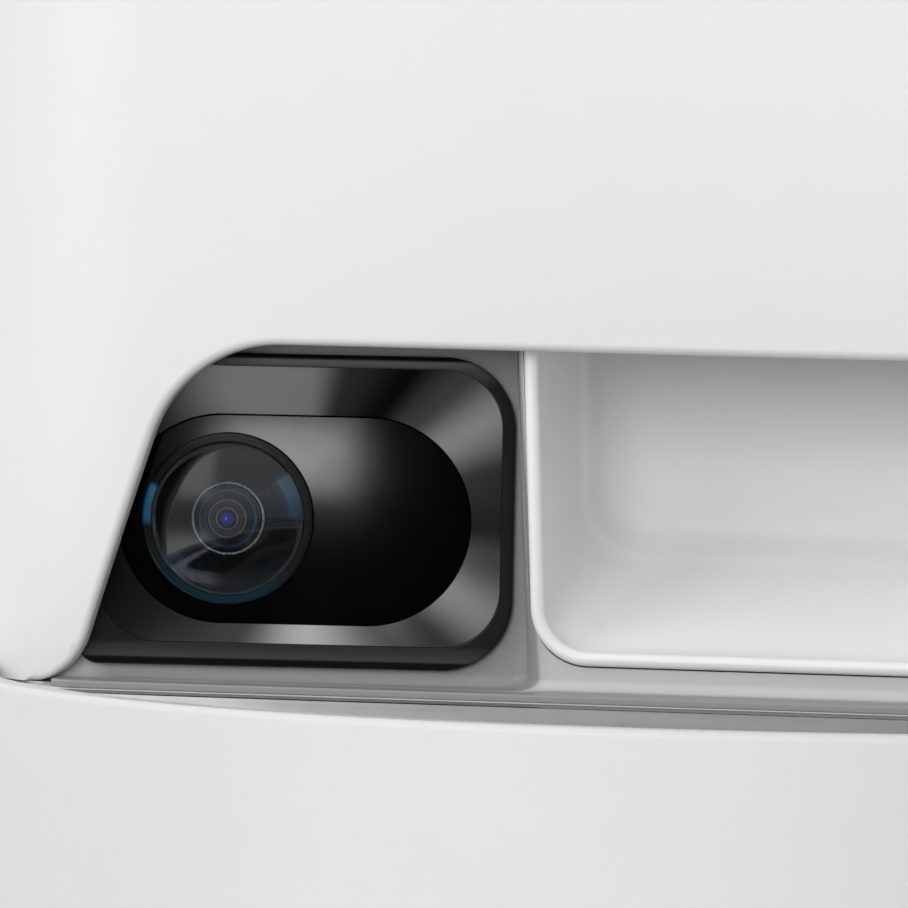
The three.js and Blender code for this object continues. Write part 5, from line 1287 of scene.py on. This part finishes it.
def lid_cover():
    top = lid_high.z
    rings = [level(lid_outline(0), lid_low.z)] + rounded_rings(lid_outline, LID_ROUND, top, 7)
    front = TANK_FRONT - TANK_FLANGE - LID_OVERHANG
    solid = cut(
        loft(rings),
        slab(lid_outline(LID_WALL), lid_low.z - BEYOND, top - LID_WALL),
        slab(lid_window_outline(0), top - LID_WINDOW_THICKNESS - FIT, top + BEYOND),
        slab(lid_window_outline(LID_WINDOW_LEDGE), lid_low.z, top + BEYOND),
        block(
            -LATCH_HALF - FIT, LATCH_HALF + FIT, front - BEYOND, front + LID_WALL + BEYOND,
            latch_low.z - FIT, latch_high.z + FIT,
        ),
    )
    root = LID_BACK - LID_WALL / 2
    knuckle = [(root, lid_low.z)]
    for y, z in sweep(HINGE_Y, HINGE_Z, KNUCKLE, -QUARTER, QUARTER):
        knuckle.append((y, max(z, lid_low.z)))
    knuckle.append((root, HINGE_Z + KNUCKLE / 2))
    join(solid, *[sideways(knuckle, x - KNUCKLE_HALF, x + KNUCKLE_HALF) for x in (-HINGE_X, HINGE_X)])
    soften(solid, LID_EDGE, lambda p: p.z > lid_low.z - NEAR, segments=2)
    return shade(solid)


def lid_window():
    top = lid_high.z
    pane = slab(lid_window_outline(FIT), top - LID_WINDOW_THICKNESS, top)
    soften(pane, LID_EDGE, lambda p: p.z > top - NEAR)
    return shade(pane)


def lid_latch():
    half_y = (latch_high.y - latch_low.y) / 2
    middle = (latch_high.y + latch_low.y) / 2
    latch = slab(rounded_box(latch_high.x, half_y, LATCH_CORNER, 0, middle), latch_low.z, latch_high.z)
    soften(latch, LATCH_EDGE)
    return shade(latch)


# Tank
def food_tank():
    """A box with a flange and hinge ears, over a funnel that turns round towards its mouth."""
    bottom = tank_low.z
    funnel_top = bottom + FUNNEL_HEIGHT
    neck = funnel_top - NECK_DROP
    flange_top = lid_low.z - FIT
    flange_bottom = flange_top - TANK_FLANGE_THICKNESS
    rotor_y = (rotor_low.y + rotor_high.y) / 2

    def wide(grow, height):
        return level(tank_outline(grow), height)

    def round_ring(radius, height):
        points = []
        for x, y in tank_outline(0):
            angle = math.atan2((y - TANK_MIDDLE) / TANK_HALF_DEPTH, x / TANK_HALF)
            points.append((radius * math.cos(angle), rotor_y + radius * math.sin(angle), height))
        return points

    def waist(grow):
        pairs = zip(wide(grow, neck), round_ring(FUNNEL_MOUTH + grow, neck))
        return [between(a, b, NECK_SHARE) for a, b in pairs]

    body = loft([
        round_ring(FUNNEL_MOUTH, bottom), waist(0), wide(0, funnel_top), wide(0, flange_bottom),
        wide(TANK_FLANGE, flange_bottom), wide(TANK_FLANGE, flange_top), wide(-TANK_WALL, flange_top),
        wide(-TANK_WALL, funnel_top), waist(-TANK_WALL), round_ring(FUNNEL_MOUTH - TANK_WALL, bottom),
    ], closed=True)
    root = TANK_BACK + TANK_FLANGE / 2
    ear = [(root, flange_bottom), (HINGE_Y + KNUCKLE, flange_bottom)]
    ear += sweep(HINGE_Y, HINGE_Z, KNUCKLE, 0, 2 * QUARTER)
    ear += [(HINGE_Y - KNUCKLE, flange_top), (root, flange_top)]
    ears = []
    for hinge in (-HINGE_X, HINGE_X):
        for side in (-1, 1):
            x = hinge + side * (KNUCKLE_HALF + FIT + EAR_HALF)
            ears.append(sideways(ear, x - EAR_HALF, x + EAR_HALF))
    join(body, *ears)
    soften(body, TANK_EDGE, lambda p: p.z > flange_bottom - NEAR, segments=2)
    return shade(body)


# Back
def service_cover():
    outside = BODY_BACK
    inside = outside - SERVICE_THICKNESS
    front, back = inside - BEYOND, outside + BEYOND

    def along_y(radius, y0, y1, x, z):
        place = Matrix.Translation((x, 0, z)) @ Matrix.Rotation(-QUARTER, 4, "X")
        return rod(radius, y0, y1, place, BORE_STEPS)

    tools = []
    for rise in (SCREW_INSET, SERVICE_HEIGHT - SCREW_INSET):
        z = SERVICE_BOTTOM + rise
        for x in (SCREW_INSET - SERVICE_HALF, SERVICE_HALF - SCREW_INSET):
            tools.append(along_y(SCREW_RADIUS, front, back, x, z))
            tools.append(along_y(SCREW_HEAD + FIT, outside - SCREW_HEAD_HEIGHT - FIT, back, x, z))
    tools.append(along_y(INLET_SOCKET + FIT, front, back, INLET_X, SERVICE_MIDDLE))
    tools.append(along_y(RESET_RADIUS + FIT, front, back, RESET_X, SERVICE_MIDDLE))
    for place in SLOT_PLACES:
        slot = obround(
            SLOT_LENGTH / 2, SLOT_WIDTH / 2, -SERVICE_HALF / 3, SERVICE_MIDDLE + place, SLOT_ARC_STEPS,
        )
        tools.append(upright(slot, front, back))
    cover = cut(upright(service_outline(FIT), inside, outside), *tools)
    soften(cover, SERVICE_EDGE, lambda p: p.y > outside - NEAR, segments=2)
    post_tip = span("service_cover")[0].y
    posts = []
    for x in (-POST_X, POST_X):
        for rise in (-POST_RISE, POST_RISE):
            posts.append(along_y(POST_RADIUS, post_tip, inside + POST_ROOT, x, SERVICE_MIDDLE + rise))
    join(cover, *posts)
    return shade(cover)


# Each finer piece stands for its CAD node
node_slot = {part["node"]: part["material_slot"] for part in frame["record"]["subparts"]}
node_body = {
    node: body for body, nodes in frame["record"]["behaviour"]["bodies"].items() for node in nodes
}
own_finish = {"recess_liner": "liner_grey_and_painted_shade", "chute": "chute_white", "lens_barrel": "hood_black"}


def dress(piece, node):
    """A finished piece takes a CAD node's place, body and finish."""
    piece.name = f"fine_{node}"
    piece.data.materials.clear()
    piece.data.materials.append(finishes[own_finish.get(node, node_slot[node])])
    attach(piece, node_body[node])
    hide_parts(node)


makers = (
    base_housing, steel_bowl, body_shell, recess_liner, chute, camera_bezel, camera_bevel_panel,
    camera_window, dome_ring, camera_dome, lens_barrel, lens_retaining_ring, front_lens, top_frame,
    feed_button, lid_cover, lid_window, lid_latch, food_tank, service_cover,
)
for maker in makers:
    dress(maker(), maker.__name__)
for i in range(1, 5):
    dress(foot(f"foot_{i}"), f"foot_{i}")

# The other CAD nodes keep their shape and take their own finish
for node, piece in frame["nodes"].items():
    if piece.hide_render:
        continue
    for place in piece.material_slots:
        place.material = finishes[node_slot[node]]

# Floor, which fades into the white backdrop between two distances in metres
FLOOR_HALF = 6000
FADE_START = 0.9
FADE_STOP = 2.0
finish("floor", (0.8, 0.8, 0.8), 0.6, grain=400, relief=0.02, mottle=0.01)
floor_mesh = bmesh.new()
bmesh.ops.create_grid(floor_mesh, x_segments=8, y_segments=8, size=FLOOR_HALF)
floor = make("floor", floor_mesh)
floor.data.materials.append(finishes["floor"])
floor.visible_glossy = False
tree = finishes["floor"].node_tree
reach = vector_node(tree, "LENGTH", object_place(tree))
fade = spread(tree, reach, 0, 1, FADE_START, FADE_STOP, "SMOOTHSTEP")
seen = math_node(tree, "MULTIPLY", fade, tree.nodes.new("ShaderNodeLightPath").outputs["Is Camera Ray"])
faded = choose(tree, seen, tree.nodes["Principled BSDF"], tree.nodes.new("ShaderNodeEmission"))
tree.links.new(faded.outputs[0], tree.nodes["Material Output"].inputs["Surface"])

# Camera at the photograph's viewing angle
azimuth, elevation, roll = math.radians(12.88), math.radians(2.10), math.radians(1.10)
distance = 1.6543
target = Vector((-0.0491, -0.0520, 0.0980))
view = Vector((
    -math.sin(azimuth) * math.cos(elevation), math.cos(azimuth) * math.cos(elevation), -math.sin(elevation),
))
right = Vector((math.cos(azimuth), math.sin(azimuth), 0))
up = right.cross(view)
across = right * math.cos(roll) + up * math.sin(roll)
upward = up * math.cos(roll) - right * math.sin(roll)
lens_data = bpy.data.cameras.new("view")
lens_data.sensor_width = 36
lens_data.lens = 449.5
lens_data.clip_end = 50
viewer = bpy.data.objects.new("view", lens_data)
bpy.context.scene.collection.objects.link(viewer)
turn = Matrix((across, upward, -view)).transposed().to_4x4()
viewer.matrix_world = Matrix.Translation(target - view * distance) @ turn
bpy.context.scene.camera = viewer


# Lamps
def area(name, place, aim, size, power, mirrored_too=False, size_y=None):
    data = bpy.data.lights.new(name, "AREA")
    data.energy = power
    data.shape = "RECTANGLE"
    data.size = size
    data.size_y = size_y or size
    lamp = bpy.data.objects.new(name, data)
    lamp.location = place
    lamp.rotation_mode = "QUATERNION"
    lamp.rotation_quaternion = (Vector(aim) - Vector(place)).to_track_quat("-Z", "Y")
    lamp.visible_glossy = mirrored_too
    lamp.visible_transmission = False
    bpy.context.scene.collection.objects.link(lamp)


area("key", (-1.6, -1.3, 1.1), (0, 0, 0.12), 1.2, 12)
area("above", (0.1, -1.0, 2.0), (0, 0, 0.12), 1.2, 5)
area("front", (-0.2, -2.2, 0.65), (0, 0, 0.1), 1.1, 19)
area("back", (1.0, 1.9, 1.2), (0, 0, 0.12), 1.3, 14)
area("side", (2.1, 0.1, 0.9), (0, 0, 0.12), 1.2, 5)

# A small lamp that the camera window mirrors as a soft patch beside the dome
PATCH_X = WINDOW_X - 1.5
PATCH_Y = WINDOW_Y + 9.5
PATCH_DISTANCE = 1.2
spot = CAMERA @ Vector((PATCH_X, PATCH_Y, WINDOW_TOP)) * MM
facing = CAMERA.col[2].xyz
ray_in = (spot - viewer.matrix_world.translation).normalized()
ray_out = ray_in - 2 * ray_in.dot(facing) * facing
area("patch", spot + ray_out * PATCH_DISTANCE, spot, 0.034, 0.018, True, 0.017)

# World: an even light, a white backdrop for the camera and glass, and a studio for glossy pieces
world = bpy.data.worlds.new("studio")
bpy.context.scene.world = world
world.use_nodes = True
tree = world.node_tree


def background(node, strength):
    feed(tree, node.inputs["Color"], (1, 1, 1, 1))
    feed(tree, node.inputs["Strength"], strength)
    return node


def ease(source, start, stop, low, high):
    return spread(tree, source, low, high, start, stop, "SMOOTHSTEP")


# The studio is white behind; in front it is dark near the horizon, pale above and below, palest on the left
parts = tree.nodes.new("ShaderNodeSeparateXYZ")
tree.links.new(tree.nodes.new("ShaderNodeTexCoord").outputs["Generated"], parts.inputs["Vector"])
slope = ease(math_node(tree, "ABSOLUTE", parts.outputs["Z"]), 0.1, 0.4, 0.02, 1)
left = ease(parts.outputs["X"], -0.3, -0.05, 1.6, 0.35)
behind = ease(parts.outputs["Y"], 0.0, 0.3, 0, 1)
studio_strength = math_node(tree, "MAXIMUM", math_node(tree, "MULTIPLY", slope, left), behind)

ambient = background(tree.nodes["Background"], 0.42)
studio = background(tree.nodes.new("ShaderNodeBackground"), studio_strength)
backdrop = background(tree.nodes.new("ShaderNodeBackground"), 1)
ray = tree.nodes.new("ShaderNodeLightPath")
seen = choose(tree, ray.outputs["Is Glossy Ray"], ambient, studio)
seen = choose(tree, ray.outputs["Is Transmission Ray"], seen, backdrop)
seen = choose(tree, ray.outputs["Is Camera Ray"], seen, backdrop)
tree.links.new(seen.outputs[0], tree.nodes["World Output"].inputs["Surface"])

bpy.context.scene.view_settings.view_transform = "Standard"
